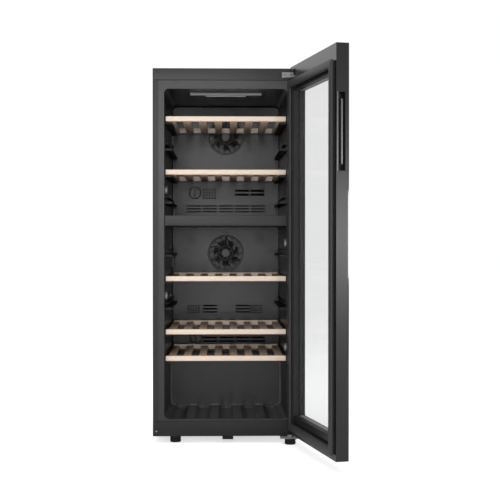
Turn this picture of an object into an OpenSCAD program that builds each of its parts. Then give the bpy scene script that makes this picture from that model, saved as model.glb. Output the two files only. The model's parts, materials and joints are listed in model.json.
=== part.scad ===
// Freestanding dual-zone wine cooler with a full-height glass door and five slide-out wooden shelves.
// Origin: on the floor, below the middle of the cabinet's front face. +X is to the right of someone
// facing the cooler, +Y goes into the cabinet and +Z is up. Millimetres.

/* [Cabinet] */
// Width of the cabinet
cabinet_w = 495; // [380:1:600]
// Depth of the cabinet from its front face to its rear edge
cabinet_d = 533; // [480:1:660]
// Height of the cabinet's top above the floor
cabinet_top = 1270; // [1260:1:1600]
// Gap between the floor and the cabinet's underside
floor_gap = 23; // [18:1:45]
// Thickness of the painted steel sheets
sheet_t = 1; // [0.6:0.1:1.6]
// Width of the steel return on the front face, beside the liner's flange
front_return = 19.5; // [12:0.5:30]
// Height of the trim along the top of the front
top_trim_h = 41; // [30:1:60]
// Height of the fascia along the bottom of the front
fascia_h = 52.6; // [40:0.2:80]
// Depth of the trim and of the fascia
trim_d = 12; // [8:1:20]

/* [Inside] */
// Width of the inside at the front
opening_w = 417; // [320:1:520]
// Width of the inside at its back
inside_back_w = 404; // [310:1:505]
// Height above the floor of the inside's ceiling, at the front
ceiling_z = 1200.6; // [1195:0.2:1500]
// How far the ceiling falls towards the back
ceiling_fall = 5; // [0:1:10]
// Height of the liner's sill above the fascia
sill_h = 6; // [4:0.5:12]
// Radius of the inside's corners
inside_r = 15; // [8:1:30]
// Thickness of the liner
liner_t = 2; // [1.2:0.2:4]
// Thickness of the foam behind the inside
back_foam = 32; // [20:1:60]
// Height above the floor of the top of the hump over the compressor
hump_z = 266; // [230:1:280]
// Foam between the compressor bay and the inside
bay_foam = 34; // [20:1:50]
// Height above the floor of the divider's underside
divider_z = 737; // [720:1:745]
// Thickness of the divider between the two zones
divider_t = 35; // [25:1:40]
// Depth of the space behind the evaporator covers
cover_space = 33; // [30:1:60]
// Thickness of the evaporator covers
cover_t = 2.5; // [1.5:0.5:4]

/* [Bottle grooves] */
// Number of grooves in the floor
groove_count = 5; // [3:1:6]
// Distance between grooves
groove_pitch = 80.5; // [60:0.5:90]
// Width of a groove at its mouth
groove_w = 51; // [40:1:56]
// Depth of a groove
groove_depth = 12; // [6:1:14]

/* [Shelves] */
// Distance between two levels of shelf guides
level_pitch = 90.6; // [85:0.1:98]
// Height above the floor of the lowest shelf's top
lowest_shelf_z = 293.9; // [290:0.1:300]
// Width of a shelf's front bar
front_bar_w = 410; // [300:1:412]
// Height of a shelf's front and back bars
bar_h = 17; // [14:1:24]
// Depth of a shelf's front bar, front to back
front_bar_d = 18; // [12:1:26]
// Depth of a shelf's back bar, front to back
back_bar_d = 22; // [14:1:30]
// Height of a shelf's back bar
back_bar_h = 18; // [14:1:20]
// Overall depth of a shelf
shelf_d = 440; // [300:1:445]
// Distance from the cabinet's front face to the front of a pushed-in shelf
shelf_setback = 16; // [8:1:30]
// Number of bars from front to back in a shelf
slat_count = 8; // [5:1:10]
// Width of those bars
slat_w = 26; // [14:1:32]
// Height of those bars
slat_h = 13; // [8:1:15]
// Distance across the outer edges of the outermost bars
rack_w = 400; // [290:1:402]
// Running clearance between a shelf and its guides
shelf_play = 0.5; // [0.3:0.1:1.5]

/* [Door] */
// Thickness of the door
door_t = 40; // [34:1:52]
// Height above the floor of the door's lower edge
door_bottom = 34; // [32:1:50]
// Gap between the closed door and the cabinet, filled by the gasket
gasket_gap = 14; // [10:1:18]
// How far the door stands open
door_open = 102.5; // [0:0.5:110]
// Width of the door frame beside the window
stile_w = 41; // [40:1:70]
// Height of the door frame above the window
top_rail_h = 82; // [60:1:100]
// Height of the door frame below the window
bottom_rail_h = 67; // [60:1:90]
// Thickness of each glass pane
glass_t = 4; // [3:0.5:6]
// Gap between the two panes
pane_gap = 15; // [9:1:16]
// Width of the metal spacer between the panes
spacer_w = 11; // [6:1:14]
// Distance from the hinge axis to the door's side
hinge_side = 13.5; // [12:0.5:20]
// Distance from the hinge axis to the door's outer face
hinge_depth = 26; // [22:0.5:26]
// Radius of the hinge pins
hinge_pin_r = 4; // [3:0.5:5]
// Radial clearance of the hinge pins in their bushes
hinge_fit = 0.05; // [0.02:0.01:0.1]
// Height above the floor of the middle of the grip
grip_z = 1009; // [700:1:1100]
// Length of the grip's groove
grip_len = 234; // [150:1:300]
// Width of the grip's groove
grip_w = 23; // [12:1:24]
// Depth of the grip's groove
grip_depth = 24; // [16:1:30]
// Length of the bright bar in the groove
grip_bar_len = 194; // [100:1:200]

/* [Works] */
// Depth of the compressor bay
bay_d = 169; // [160:1:230]
// Radius of the compressor's dome
dome_r = 70; // [50:1:72]
// Height above the floor of the upper fan's centre
upper_fan_z = 1082; // [1060:1:1110]
// Height above the floor of the lower fan's centre
lower_fan_z = 639; // [620:1:650]
// Outer radius of the fan guards
guard_r = 70; // [55:1:75]
// Radius of the evaporator fans' blades
fan_r = 52; // [40:1:54]
// Radius of the carbon filters' knobs
filter_r = 23; // [18:1:26]
// Radius of the condenser fan's blades
condenser_fan_r = 62; // [45:1:66]
// Height of the compressor's dome
compressor_h = 150; // [120:1:160]

/* [Feet] */
// Radius of the front feet
foot_r = 18.5; // [15:0.5:22]
// Radius of the threaded stud of a front foot
stud_r = 5; // [4:0.5:6]
// Radial clearance of a stud in its sleeve
stud_fit = 0.05; // [0.02:0.01:0.1]

/* [Hidden] */
$fn = 64;
eps = 0.01;              // overlap that makes a cut run clean through a face
trim_wall = 2;           // wall of the hollow trims
fit = 0.2;               // clearance between pieces that only rest beside each other
contact_gap = 0.3;       // clearance between pieces that pass each other as they move

half_w = cabinet_w / 2;
cabinet_h = cabinet_top - floor_gap;
fascia_top = floor_gap + fascia_h;
trim_bottom = cabinet_top - top_trim_h;
inside_d = cabinet_d - sheet_t - back_foam - liner_t;
floor_z = fascia_top + sill_h;
flange_out = half_w - front_return;
cover_y = inside_d - cover_space;
bay_y = cabinet_d - bay_d;
hump_y = bay_y - bay_foam;
bay_z = hump_z - bay_foam;
side_lean = (opening_w - inside_back_w) / 2 / inside_d;   // how much the inside narrows for its depth

function inside_half_w(y) = opening_w / 2 - side_lean * y;
function ceiling_at(y) = ceiling_z - ceiling_fall * y / inside_d;

groove_r = (groove_w * groove_w / 4 + groove_depth * groove_depth) / (2 * groove_depth);
groove_y = 14;                                             // where the grooves begin, behind the sill

divider_top = divider_z + divider_t;
divider_front = 5;

// Guide levels, counted from the lowest shelf; the divider takes the place of one level.
lower_levels = [0, 1, 2, 3, 4];
upper_levels = [6, 7, 8, 9];
guide_levels = concat(lower_levels, upper_levels);
shelf_levels = [9, 7, 3, 1, 0];                            // shelves 1 to 5, from the top down
function level_z(level) = lowest_shelf_z + level * level_pitch;

slat_pitch = (rack_w - slat_w) / (slat_count - 1);
slat_drop = 4;                                             // a slat's top lies this far below the bars' tops
lap = slat_h / 2;                                          // depth of the half-lap joints
ledge_h = 7;
ledge_reach = 16;                                          // how far a ledge goes under the outermost bars
guide_front = shelf_setback + front_bar_d + 1;
keeper_reach = 3;                                          // how far a keeper lip goes over them
guide_back = shelf_setback + shelf_d + 4;

door_w = cabinet_w;
door_h = cabinet_top - door_bottom;
door_in = -gasket_gap;
door_out = door_in - door_t;
hinge_x = half_w - hinge_side;
hinge_y = door_out + hinge_depth;
window_x = half_w - stile_w;
window_bottom = door_bottom + bottom_rail_h;
window_top = cabinet_top - top_rail_h;
window_h = window_top - window_bottom;
frame_out = door_out + glass_t;                            // the frame sits behind the outer pane
pane_in_out = frame_out + pane_gap;                        // outer side of the inner pane
pane_in_in = pane_in_out + glass_t;

arm_z = trim_bottom + 8;                                   // underside of the upper hinge's arm
arm_t = 4;
arm_top = arm_z + arm_t;
notch_z = arm_z - 4;
notch_top = arm_z + 22;
notch_x = hinge_x - 48;
pin_reach = 16;                                            // length of pin inside the door
bush_r = hinge_pin_r + 3;
lower_arm_z = floor_gap - arm_t;

module at_door_angle() {
    translate([hinge_x, hinge_y, 0]) rotate([0, 0, door_open]) translate([-hinge_x, -hinge_y, 0])
        children();
}

// A plate standing across the depth, drawn as seen from the front: x to the right, y up.
module plate_xz(y_front, thickness) {
    translate([0, y_front + thickness, 0]) rotate([90, 0, 0])
        linear_extrude(height = thickness) children();
}

module rod_y(x, y_front, z, r, length) {
    translate([x, y_front, z]) rotate([-90, 0, 0]) cylinder(r = r, h = length);
}

module rod_x(x, y, z, r, length) {
    translate([x, y, z]) rotate([0, 90, 0]) cylinder(r = r, h = length);
}

module rounded_rect(w, h, r) {
    translate([r, 0]) square([w - 2 * r, h]);
    translate([0, r]) square([w, h - 2 * r]);
    for (x = [r, w - r], y = [r, h - r]) translate([x, y]) circle(r = r);
}

// The outline of the inside at a depth, grown by a margin.
module inside_slice(y, margin) {
    w = 2 * (inside_half_w(y) + margin);
    low = floor_z - margin;
    high = ceiling_at(y) + margin;
    translate([-w / 2, y, low]) rotate([90, 0, 0]) linear_extrude(height = eps)
        rounded_rect(w, high - low, inside_r + margin);
}

// The room inside, grown by a margin, from one depth to another. The hump stays solid, and the floor
// has grooves that hold bottles.
module inside_room(margin, from_y, to_y) {
    difference() {
        hull() {
            inside_slice(from_y, margin);
            inside_slice(to_y, margin);
        }
        translate([-half_w, hump_y + margin, 0]) cube([cabinet_w, cabinet_d, hump_z - margin]);
    }
    for (i = [0 : groove_count - 1])
        rod_y((i - (groove_count - 1) / 2) * groove_pitch, groove_y - margin,
              floor_z - groove_depth + groove_r,
              groove_r + margin, hump_y - 2 * groove_y + 2 * margin);
}

// ---- Cabinet casing ----

module outer_shell() color("dimgray") {
    difference() {
        translate([-half_w, 0, floor_gap]) cube([cabinet_w, cabinet_d, cabinet_h]);
        translate([-half_w + sheet_t, -eps, floor_gap - eps])
            cube([cabinet_w - 2 * sheet_t, cabinet_d + 2 * eps, cabinet_h - sheet_t + eps]);
        for (span = [[trim_bottom, top_trim_h + eps], [floor_gap - eps, fascia_h + eps]])
            translate([-half_w - eps, -eps, span[0]]) cube([cabinet_w + 2 * eps, trim_d + eps, span[1]]);
    }
    for (side = [-1, 1])
        translate([side > 0 ? flange_out : -half_w, 0, fascia_top])
            cube([front_return, sheet_t, trim_bottom - fascia_top]);
}

module top_trim() color("gray")
    difference() {
        translate([-half_w, 0, trim_bottom]) cube([cabinet_w, trim_d, top_trim_h]);
        translate([-half_w + trim_wall, trim_wall, trim_bottom + trim_wall])
            cube([cabinet_w - 2 * trim_wall, trim_d, top_trim_h - 2 * trim_wall]);
        hinge_screw_holes(top_screw_r + 0.1);
    }

module bottom_fascia() color("dimgray")
    difference() {
        translate([-half_w, 0, floor_gap]) cube([cabinet_w, trim_d, fascia_h]);
        translate([-half_w + trim_wall, trim_wall, floor_gap + trim_wall])
            cube([cabinet_w - 2 * trim_wall, trim_d, fascia_h - 2 * trim_wall]);
        rod_y(plug_x, -eps, plug_z, plug_r + fit, trim_d);
    }

plug_x = -half_w + 12;
plug_z = floor_gap + 17;
plug_r = 3;
plug_len = 5;
plug_stand = 1;                                            // how far the plug stands out of the fascia
cap_r = 13.5;
cap_t = 7;
cap_step = 2;                                              // height and width of the step round a cap
cap_y = 62;
// Each cap: side of the cabinet, then height above the floor.
side_caps = [[-1, level_z(6) + 22.5], [-1, level_z(2) + 22.4], [1, level_z(4) + 22.3],
             [1, level_z(0) + 25.1]];

module blanking_caps() color("silver") {
    rod_y(plug_x, -plug_stand, plug_z, plug_r, plug_len);
    for (cap = side_caps) {
        wall = inside_half_w(cap_y + cap_r) - fit;
        translate([cap[0] * wall, cap_y, cap[1]]) rotate([0, -cap[0] * 90, 0]) {
            cylinder(r = cap_r, h = cap_t - cap_step);
            cylinder(r = cap_r - cap_step, h = cap_t);
        }
    }
}

module inner_liner() color("darkslategray")
    difference() {
        union() {
            inside_room(liner_t, 0, inside_d + liner_t);
            translate([-flange_out + fit, 0, fascia_top + fit])
                cube([2 * (flange_out - fit), liner_t, trim_bottom - fascia_top - 2 * fit]);
        }
        inside_room(0, -1, inside_d);
        for (z = [lower_pipe_z, upper_pipe_z])
            rod_y(pipe_x, inside_d - liner_t, z, pipe_r + pipe_gap, 4 * liner_t);
        translate([drain_x, drain_y, hump_z - 2 * liner_t]) cylinder(r = drain_r + fit, h = 4 * liner_t);
    }

module foam_insulation() color("khaki")
    difference() {
        translate([-half_w + sheet_t + fit, trim_d + fit, floor_gap + sheet_t + fit])
            cube([cabinet_w - 2 * (sheet_t + fit), cabinet_d - trim_d - sheet_t - 2 * fit,
                  cabinet_h - 2 * (sheet_t + fit)]);
        inside_room(liner_t + fit, -1, inside_d + liner_t + fit);
        translate([-half_w, bay_y - fit, 0]) cube([cabinet_w, cabinet_d, bay_z + fit]);
        pipe_channel();
        translate([drain_x, drain_y, bay_z - 2]) cylinder(r = drain_r + fit, h = bay_foam + 4);
        foot_pocket(left_foot_x, left_foot_y);
        lower_screw_holes(lower_screw_r + 2 * fit, floor_gap + 12);
    }

module rear_panel() color("gray")
    translate([-half_w + sheet_t + fit, cabinet_d - sheet_t, bay_z])
        cube([cabinet_w - 2 * (sheet_t + fit), sheet_t, cabinet_top - sheet_t - fit - bay_z]);

base_in = half_w - sheet_t - fit;

// The underside steps up over the compressor bay.
module base_pan() color("gray") {
    difference() {
        union() {
            translate([-base_in, trim_d + fit, floor_gap]) cube([2 * base_in, bay_y - trim_d - fit, sheet_t]);
            translate([-base_in, bay_y, floor_gap]) cube([2 * base_in, sheet_t, bay_z - floor_gap - fit]);
            translate([-base_in, bay_y, bay_z - sheet_t - fit])
                cube([2 * base_in, cabinet_d - bay_y - sheet_t - fit, sheet_t]);
        }
        translate([pipe_x - channel_w / 2 - 1, pipe_y - channel_w / 2 - 1, bay_z - 4 * sheet_t])
            cube([channel_w + 2, channel_w + 2, 8 * sheet_t]);
        translate([drain_x, drain_y, bay_z - 4 * sheet_t]) cylinder(r = drain_r + fit, h = 8 * sheet_t);
        translate([left_foot_x, left_foot_y, floor_gap - 1]) cylinder(r = stud_r + stud_fit, h = sheet_t + 2);
        lower_screw_holes(lower_screw_r + fit, floor_gap + 2);
    }
    foot_sleeve();
}

tray_t = 1.5;
module compressor_tray() color("gray")
    difference() {
        translate([-base_in, bay_y + sheet_t + fit, floor_gap])
            cube([2 * base_in, cabinet_d - bay_y - sheet_t - fit, tray_t]);
        for (p = mount_points) translate([p[0], p[1], floor_gap - 1]) cylinder(r = mount_bolt_r + fit, h = 4);
    }

slot_groups = [-135, 20, 135];                             // middles of the groups of louvres
slot_rows = 10;
slot_pitch = 14;
slot_w = 90;
slot_h = 5;
slot_low = 36;                                             // from the cover's lower edge to the lowest slot
module compressor_cover() color("dimgray") {
    cover_low = floor_gap + tray_t + fit;
    cover_high = bay_z - fit - eps;
    plate_xz(cabinet_d, sheet_t)
        difference() {
            translate([-base_in, cover_low]) square([2 * base_in, cover_high - cover_low]);
            for (group = slot_groups, row = [0 : slot_rows - 1])
                translate([group - slot_w / 2, cover_low + slot_low + row * slot_pitch])
                    square([slot_w, slot_h]);
            translate([inlet_x - inlet_w / 2 - 0.5, inlet_z - inlet_h / 2 - 0.5])
                square([inlet_w + 1, inlet_h + 1]);
        }
}

// ---- Inside the cabinet ----

divider_gap = 1;                                           // beside the divider, at the walls
divider_lip = [2, 4];                                      // depth and height of the lip under its front
module zone_divider() color("black") {
    front_half = inside_half_w(divider_front) - divider_gap;
    back_half = inside_half_w(cover_y) - divider_gap;
    difference() {
        translate([0, 0, divider_z])
            linear_extrude(height = divider_t)
                polygon([[-front_half, divider_front], [front_half, divider_front],
                         [back_half, cover_y - fit], [-back_half, cover_y - fit]]);
        translate([-lamp_w / 2 - fit, lamp_y - fit, divider_z - 1])
            cube([lamp_w + 2 * fit, lamp_d + 2 * fit, lamp_h + fit + 1]);
    }
    translate([-front_half, divider_front - divider_lip[0], divider_z])
        cube([2 * front_half, divider_lip[0], divider_lip[1]]);
}

// A square grid of small openings.
module grid_block(x, z, w, h, across, up) {
    for (i = [0 : across - 1], j = [0 : up - 1])
        translate([x + i * w / across, z + j * h / up]) square([w / across * 0.6, h / up * 0.6]);
}

module evaporator_cover(low, high, fan_z) {
    plate_xz(cover_y, cover_t)
        difference() {
            translate([-cover_half, low]) rounded_rect(2 * cover_half, high - low, cover_r);
            translate([0, fan_z]) circle(r = guard_r - guard_lap);
            children();
        }
    for (side = [-1, 1])
        translate([side > 0 ? cover_half - cover_t : -cover_half, cover_y + cover_t, low + cover_r])
            cube([cover_t, cover_space - cover_t - 8, high - low - 2 * cover_r]);
}

cover_r = 14;
guard_lap = 5;                                             // how far a fan guard overlaps its cover
cover_half = inside_half_w(cover_y) - 2;
upper_cover_low = divider_top + fit;
upper_cover_high = ceiling_at(cover_y) - 4;
lower_cover_low = hump_z + fit;
lower_cover_high = divider_z - fit;
upper_filter = [-117, divider_top + 96];
lower_filter = [-115, hump_z + 52];

module evaporator_cover_upper() color("darkslategray")
    evaporator_cover(upper_cover_low, upper_cover_high, upper_fan_z) {
        translate(upper_filter) circle(r = filter_r + 1);
        grid_block(-87, divider_top + 73, 54, 42, 5, 4);
        for (x = [35, 94], row = [0, 1]) translate([x, divider_top + 85 + row * 15]) square([53, 9]);
        for (column = [-2 : 2], row = [0 : 2])
            translate([column * 61 - 27, divider_top + 22 + row * 11]) square([54, 5]);
    }

module evaporator_cover_lower() color("darkslategray")
    evaporator_cover(lower_cover_low, lower_cover_high, lower_fan_z) {
        translate(lower_filter) circle(r = filter_r + 1);
        for (x = [-149, 111]) grid_block(x, lower_fan_z + 36, 38, 35, 4, 4);
        for (x = [-146, 92]) grid_block(x, hump_z + 144, 50, 34, 5, 4);
        for (x = [-87, 37], row = [0 : 2]) translate([x, hump_z + 146 + row * 12]) square([54, 6]);
        for (x = [-87, -24, 37, 95], row = [0 : 1]) translate([x, hump_z + 34 + row * 14]) square([54, 7]);
    }

coil_y = inside_d - 9;
fin_plate = [330, 2];                                      // width and thickness of an evaporator's plate
tube_r = 3.5;
tube_len = 300;
tube_rows = 5;
tube_margin = 14;
header = [10, 7];                                          // width and depth of the upright header
header_margin = 8;
module evaporator(low, high) color("silver") {
    translate([-fin_plate[0] / 2, coil_y, low]) cube([fin_plate[0], fin_plate[1], high - low]);
    for (i = [0 : tube_rows - 1])
        rod_x(-tube_len / 2, coil_y - tube_r - 0.3,
              low + tube_margin + i * (high - low - 2 * tube_margin) / (tube_rows - 1), tube_r, tube_len);
    translate([pipe_x - header[0] / 2, coil_y - header[1] - 0.3, low + header_margin])
        cube([header[0], header[1], high - low - 2 * header_margin]);
}
module evaporators() {
    evaporator(divider_top + 20, upper_fan_z - guard_r - 12);
    evaporator(hump_z + 30, lower_fan_z - guard_r - 12);
}

motor_r = 17;
motor_y = cover_y + 14;
motor_rear_gap = 3;
motor_arm = [3, 8];                                        // thickness and width of a motor's three arms
shaft_r = 2;
shaft_fit = 0.05;
shaft_len = 7.3;
module fan_motors() color("black")
    for (z = [upper_fan_z, lower_fan_z]) {
        rod_y(0, motor_y, z, motor_r, inside_d - motor_y - motor_rear_gap);
        rod_y(0, motor_y - shaft_len, z, shaft_r, shaft_len + 0.7);
        for (angle = [30, 150, 270])
            translate([0, inside_d - motor_rear_gap - motor_arm[0], z]) rotate([0, angle, 0])
                translate([motor_r - 2, 0, -motor_arm[1] / 2])
                    cube([guard_r - motor_r - 6, motor_arm[0], motor_arm[1]]);
    }

hub_r = 16;
blade_count = 7;
rotor_d = 8;
rotor_y = motor_y - rotor_d - 1.5;
// Blades twisted like a propeller's, round a hub with a bore for the motor's shaft.
module fan_rotor(y, z, blade_r, hub_r, count, depth) {
    translate([0, y, z]) rotate([-90, 0, 0]) difference() {
        union() {
            cylinder(r = hub_r, h = depth);
            for (i = [0 : count - 1]) rotate([0, 0, i * 360 / count])
                translate([hub_r - 1, 0, depth / 2]) rotate([32, 0, 0])
                    translate([0, -depth * 0.7, -0.7]) cube([blade_r - hub_r - 1, depth * 1.4, 1.4]);
        }
        translate([0, 0, 2]) cylinder(r = shaft_r + shaft_fit, h = depth);
        translate([0, 0, -depth]) cylinder(r = hub_r + blade_r, h = depth - 2);
    }
}
module fan_rotor_upper() color("dimgray") fan_rotor(rotor_y, upper_fan_z, fan_r, hub_r, blade_count, rotor_d);
module fan_rotor_lower() color("dimgray") fan_rotor(rotor_y, lower_fan_z, fan_r, hub_r, blade_count, rotor_d);

guard_t = 3;
guard_rings = [[guard_r, guard_r - 6], [50, 47.5], [40, 37.5], [30, 27]];   // outer and inner radii
guard_disc_r = 18;
spoke_count = 12;
spoke_w = 2.4;
module fan_guard(z, spoke_turn) {
    plate_xz(cover_y - guard_t, guard_t)
        translate([0, z]) {
            for (ring = guard_rings)
                difference() { circle(r = ring[0]); circle(r = ring[1]); }
            circle(r = guard_disc_r);
            for (i = [0 : spoke_count - 1])
                rotate(i * 360 / spoke_count) translate([guard_disc_r - 1, 0]) rotate(spoke_turn)
                    translate([0, -spoke_w / 2]) square([guard_r - guard_disc_r - 2, spoke_w]);
        }
}
module fan_guards() color("dimgray") {
    fan_guard(upper_fan_z, 0);
    fan_guard(lower_fan_z, 12);
}

knob_t = 4;
knob_grip = [6, 6.5];                                      // width and height of the grip across a knob
filter_len = 14;
// A round filter that a quarter turn of its grip releases.
module carbon_filter(place) {
    rod_y(place[0], cover_y - knob_t, place[1], filter_r, knob_t - contact_gap);
    rod_y(place[0], cover_y - contact_gap - eps, place[1], filter_r - 2, filter_len);
    translate([place[0] - knob_grip[0] / 2, cover_y - knob_t - knob_grip[1] + 0.5,
               place[1] - filter_r + knob_t])
        cube([knob_grip[0], knob_grip[1], 2 * (filter_r - knob_t)]);
}
module carbon_filter_upper() color("dimgray") carbon_filter(upper_filter);
module carbon_filter_lower() color("dimgray") carbon_filter(lower_filter);

lamp_w = 248;
lamp_d = 40;
lamp_y = 70;
lamp_h = 12;
lamp_wall = 2;
lens_d = 7;
panel_size = [140, 2];                                     // width and thickness of the touch panel
upper_lamp_z = ceiling_at(lamp_y + lamp_d) - fit - lamp_h;
// The upper lamp hangs under the ceiling and shines forwards; the lower one is sunk into the divider's
// underside and shines down.
module lamp_housings() color("dimgray") {
    difference() {
        translate([-lamp_w / 2, lamp_y, upper_lamp_z]) cube([lamp_w, lamp_d, lamp_h]);
        translate([-lamp_w / 2 + lamp_wall, lamp_y - 1, upper_lamp_z - 1])
            cube([lamp_w - 2 * lamp_wall, lens_d + 2, lamp_h - 1]);
    }
    difference() {
        translate([-lamp_w / 2, lamp_y, divider_z]) cube([lamp_w, lamp_d, lamp_h]);
        translate([-lamp_w / 2 + lamp_wall, lamp_y + lamp_wall, divider_z - 1])
            cube([lamp_w - 2 * lamp_wall, lamp_d - 2 * lamp_wall, lens_d + 1]);
    }
}
module lamp_lenses() color("white") {
    translate([-lamp_w / 2 + lamp_wall + fit, lamp_y + 0.5, upper_lamp_z])
        cube([lamp_w - 2 * (lamp_wall + fit), lens_d, lamp_h - lamp_wall - 2 * fit]);
    translate([-lamp_w / 2 + lamp_wall + fit, lamp_y + lamp_wall + fit, divider_z + 1])
        cube([lamp_w - 2 * (lamp_wall + fit), lamp_d - 2 * (lamp_wall + fit), lens_d - 1 - fit]);
}
module control_panel() color("black")
    translate([-panel_size[0] / 2, lamp_y + lens_d + 3, upper_lamp_z - panel_size[1]])
        cube([panel_size[0], lamp_d - lens_d - 5, panel_size[1] - eps]);

// Ledges that carry the shelves, a keeper lip over each, and a round boss at the front of each level.
boss_r = 3.5;
boss_t = 2;
keeper_h = 3;
module shelf_guides() color("black")
    for (side = [-1, 1], level = guide_levels) {
        bar_top = level_z(level);
        slat_low = bar_top - slat_drop - slat_h;
        ledge_top = slat_low - shelf_play;
        guide_bar(side, ledge_top - ledge_h, ledge_h, rack_w / 2 - ledge_reach);
        guide_bar(side, bar_top - slat_drop + shelf_play, keeper_h, rack_w / 2 - keeper_reach);
        boss_y = guide_front - 12;
        boss_w = inside_half_w(boss_y) - fit;
        translate([side > 0 ? boss_w - boss_t : -boss_w, boss_y, ledge_top - ledge_h - 9])
            rotate([0, 90, 0]) cylinder(r = boss_r, h = boss_t);
    }
// One bar along a side wall: its outer side follows the wall, its inner side is straight.
module guide_bar(side, z, h, reach) {
    front_half = inside_half_w(guide_front) - fit;
    back_half = inside_half_w(guide_back) - fit;
    translate([0, 0, z]) linear_extrude(height = h)
        polygon([[side * reach, guide_front], [side * front_half, guide_front],
                 [side * back_half, guide_back], [side * reach, guide_back]]);
}

sensor = [9, 24, 36];
sensor_y = cover_y - 70;
sensor_places = [upper_fan_z - 40, lower_fan_z - 50];
module temperature_sensors() color("white")
    for (z = sensor_places)
        translate([-inside_half_w(sensor_y + sensor[1] + 1) + fit, sensor_y, z]) cube(sensor);

// ---- Compressor bay ----

compressor_x = 96;
dome_gap = 16;                                             // from the bay's front wall to the dome
compressor_y = bay_y + sheet_t + dome_gap + dome_r;
dome_wall = 4;
stub = [3.5, 30, 60];                                      // radius, length and height of the filling tube
plate_t = 3;
plate_edge = 12;                                           // from a mount's middle to the plate's edge
mount_dx = 78;                                             // from the compressor's middle to its mounts
mount_dy = 46;
mount_h = 14;
mount_r = 10;
mount_neck_r = 6;
mount_bolt_r = 3;
mount_points = [for (sx = [-1, 1], sy = [-1, 1])
    [compressor_x + sx * mount_dx, compressor_y + sy * mount_dy]];
foot_plate_z = floor_gap + tray_t + mount_h;

module compressor() color("black")
    difference() {
        union() {
            translate([compressor_x, compressor_y, foot_plate_z + plate_t]) {
                cylinder(r = dome_r, h = compressor_h - dome_r * 0.5);
                translate([0, 0, compressor_h - dome_r * 0.5])
                    intersection() {
                        sphere(r = dome_r);
                        translate([-dome_r, -dome_r, 0]) cube([2 * dome_r, 2 * dome_r, dome_r * 0.5]);
                    }
            }
            translate([compressor_x - mount_dx - plate_edge, compressor_y - mount_dy - plate_edge,
                       foot_plate_z])
                cube([2 * (mount_dx + plate_edge), 2 * (mount_dy + plate_edge), plate_t + eps]);
            rod_x(compressor_x - dome_r - stub[1] + 8, compressor_y, foot_plate_z + stub[2],
                  stub[0], stub[1]);
        }
        for (p = mount_points)
            translate([p[0], p[1], foot_plate_z - 1]) cylinder(r = mount_neck_r + fit, h = 2 * plate_t);
        translate([compressor_x, compressor_y, foot_plate_z + 2 * plate_t])
            cylinder(r = dome_r - dome_wall, h = compressor_h - dome_r);
    }

module compressor_mounts() color("dimgray")
    for (p = mount_points) translate([p[0], p[1], 0]) {
        translate([0, 0, floor_gap + tray_t]) cylinder(r = mount_r, h = mount_h - fit);
        translate([0, 0, floor_gap - tray_t]) cylinder(r = mount_bolt_r, h = tray_t + 2);
        translate([0, 0, foot_plate_z - fit - eps]) cylinder(r = mount_neck_r, h = 2 * plate_t);
    }

drip_tray = [160, 110, 16];
drip_wall = 2;
tray_z = foot_plate_z + plate_t + compressor_h + 2;
module condensate_tray() color("dimgray")
    translate([compressor_x - drip_tray[0] / 2, compressor_y - drip_tray[1] / 2, tray_z])
        difference() {
            cube(drip_tray);
            translate([drip_wall, drip_wall, drip_wall])
                cube([drip_tray[0] - 2 * drip_wall, drip_tray[1] - 2 * drip_wall, drip_tray[2]]);
        }

drain_r = 6;
drain_x = compressor_x - 40;
drain_y = inside_d - 16;
module drain_tube() color("white")
    difference() {
        translate([drain_x, drain_y, tray_z + 6]) cylinder(r = drain_r, h = hump_z + 1 - tray_z - 6);
        translate([drain_x, drain_y, tray_z + 5]) cylinder(r = drain_r - 1.5, h = bay_foam * 3);
    }

pipe_r = 4;
pipe_gap = 2;                                              // round a pipe where it passes the liner
pipe_x = 150;
pipe_y = cabinet_d - sheet_t - 17;
pipe_step = 60;                                            // from the rising pipe to the suction pipe
pipe_drop = 20;                                            // of the crossing below the bay's ceiling
channel_w = 16;
upper_pipe_z = divider_top + 60;
lower_pipe_z = hump_z + 90;
module pipe_channel() {
    translate([pipe_x - channel_w / 2, pipe_y - channel_w / 2, bay_z - 2])
        cube([channel_w, channel_w, upper_pipe_z + 12 - bay_z]);
    for (z = [lower_pipe_z, upper_pipe_z])
        translate([pipe_x - channel_w / 2, inside_d, z - channel_w / 2])
            cube([channel_w, pipe_y - inside_d, channel_w]);
}
condenser_x = -200;
module refrigerant_pipes() color("peru") {
    suction_z = foot_plate_z + 40;
    translate([pipe_x, pipe_y, bay_z - pipe_drop]) cylinder(r = pipe_r, h = upper_pipe_z - bay_z + pipe_drop);
    for (z = [lower_pipe_z, upper_pipe_z]) {
        rod_y(pipe_x, coil_y + 2, z, pipe_r, pipe_y - coil_y - 2);
        translate([pipe_x, pipe_y, z]) sphere(r = pipe_r);
    }
    translate([pipe_x, pipe_y, bay_z - pipe_drop]) sphere(r = pipe_r);
    rod_x(pipe_x, pipe_y, bay_z - pipe_drop, pipe_r, pipe_step);
    translate([pipe_x + pipe_step, pipe_y, bay_z - pipe_drop]) sphere(r = pipe_r);
    translate([pipe_x + pipe_step, pipe_y, suction_z])
        cylinder(r = pipe_r, h = bay_z - pipe_drop - suction_z);
    translate([pipe_x + pipe_step, pipe_y, suction_z]) sphere(r = pipe_r);
    rod_y(pipe_x + pipe_step, compressor_y, suction_z, pipe_r, pipe_y - compressor_y);
    translate([pipe_x + pipe_step, compressor_y, suction_z]) sphere(r = pipe_r);
    rod_x(compressor_x + dome_r + fit, compressor_y, suction_z, pipe_r,
          pipe_x + pipe_step - compressor_x - dome_r - fit);
}

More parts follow.
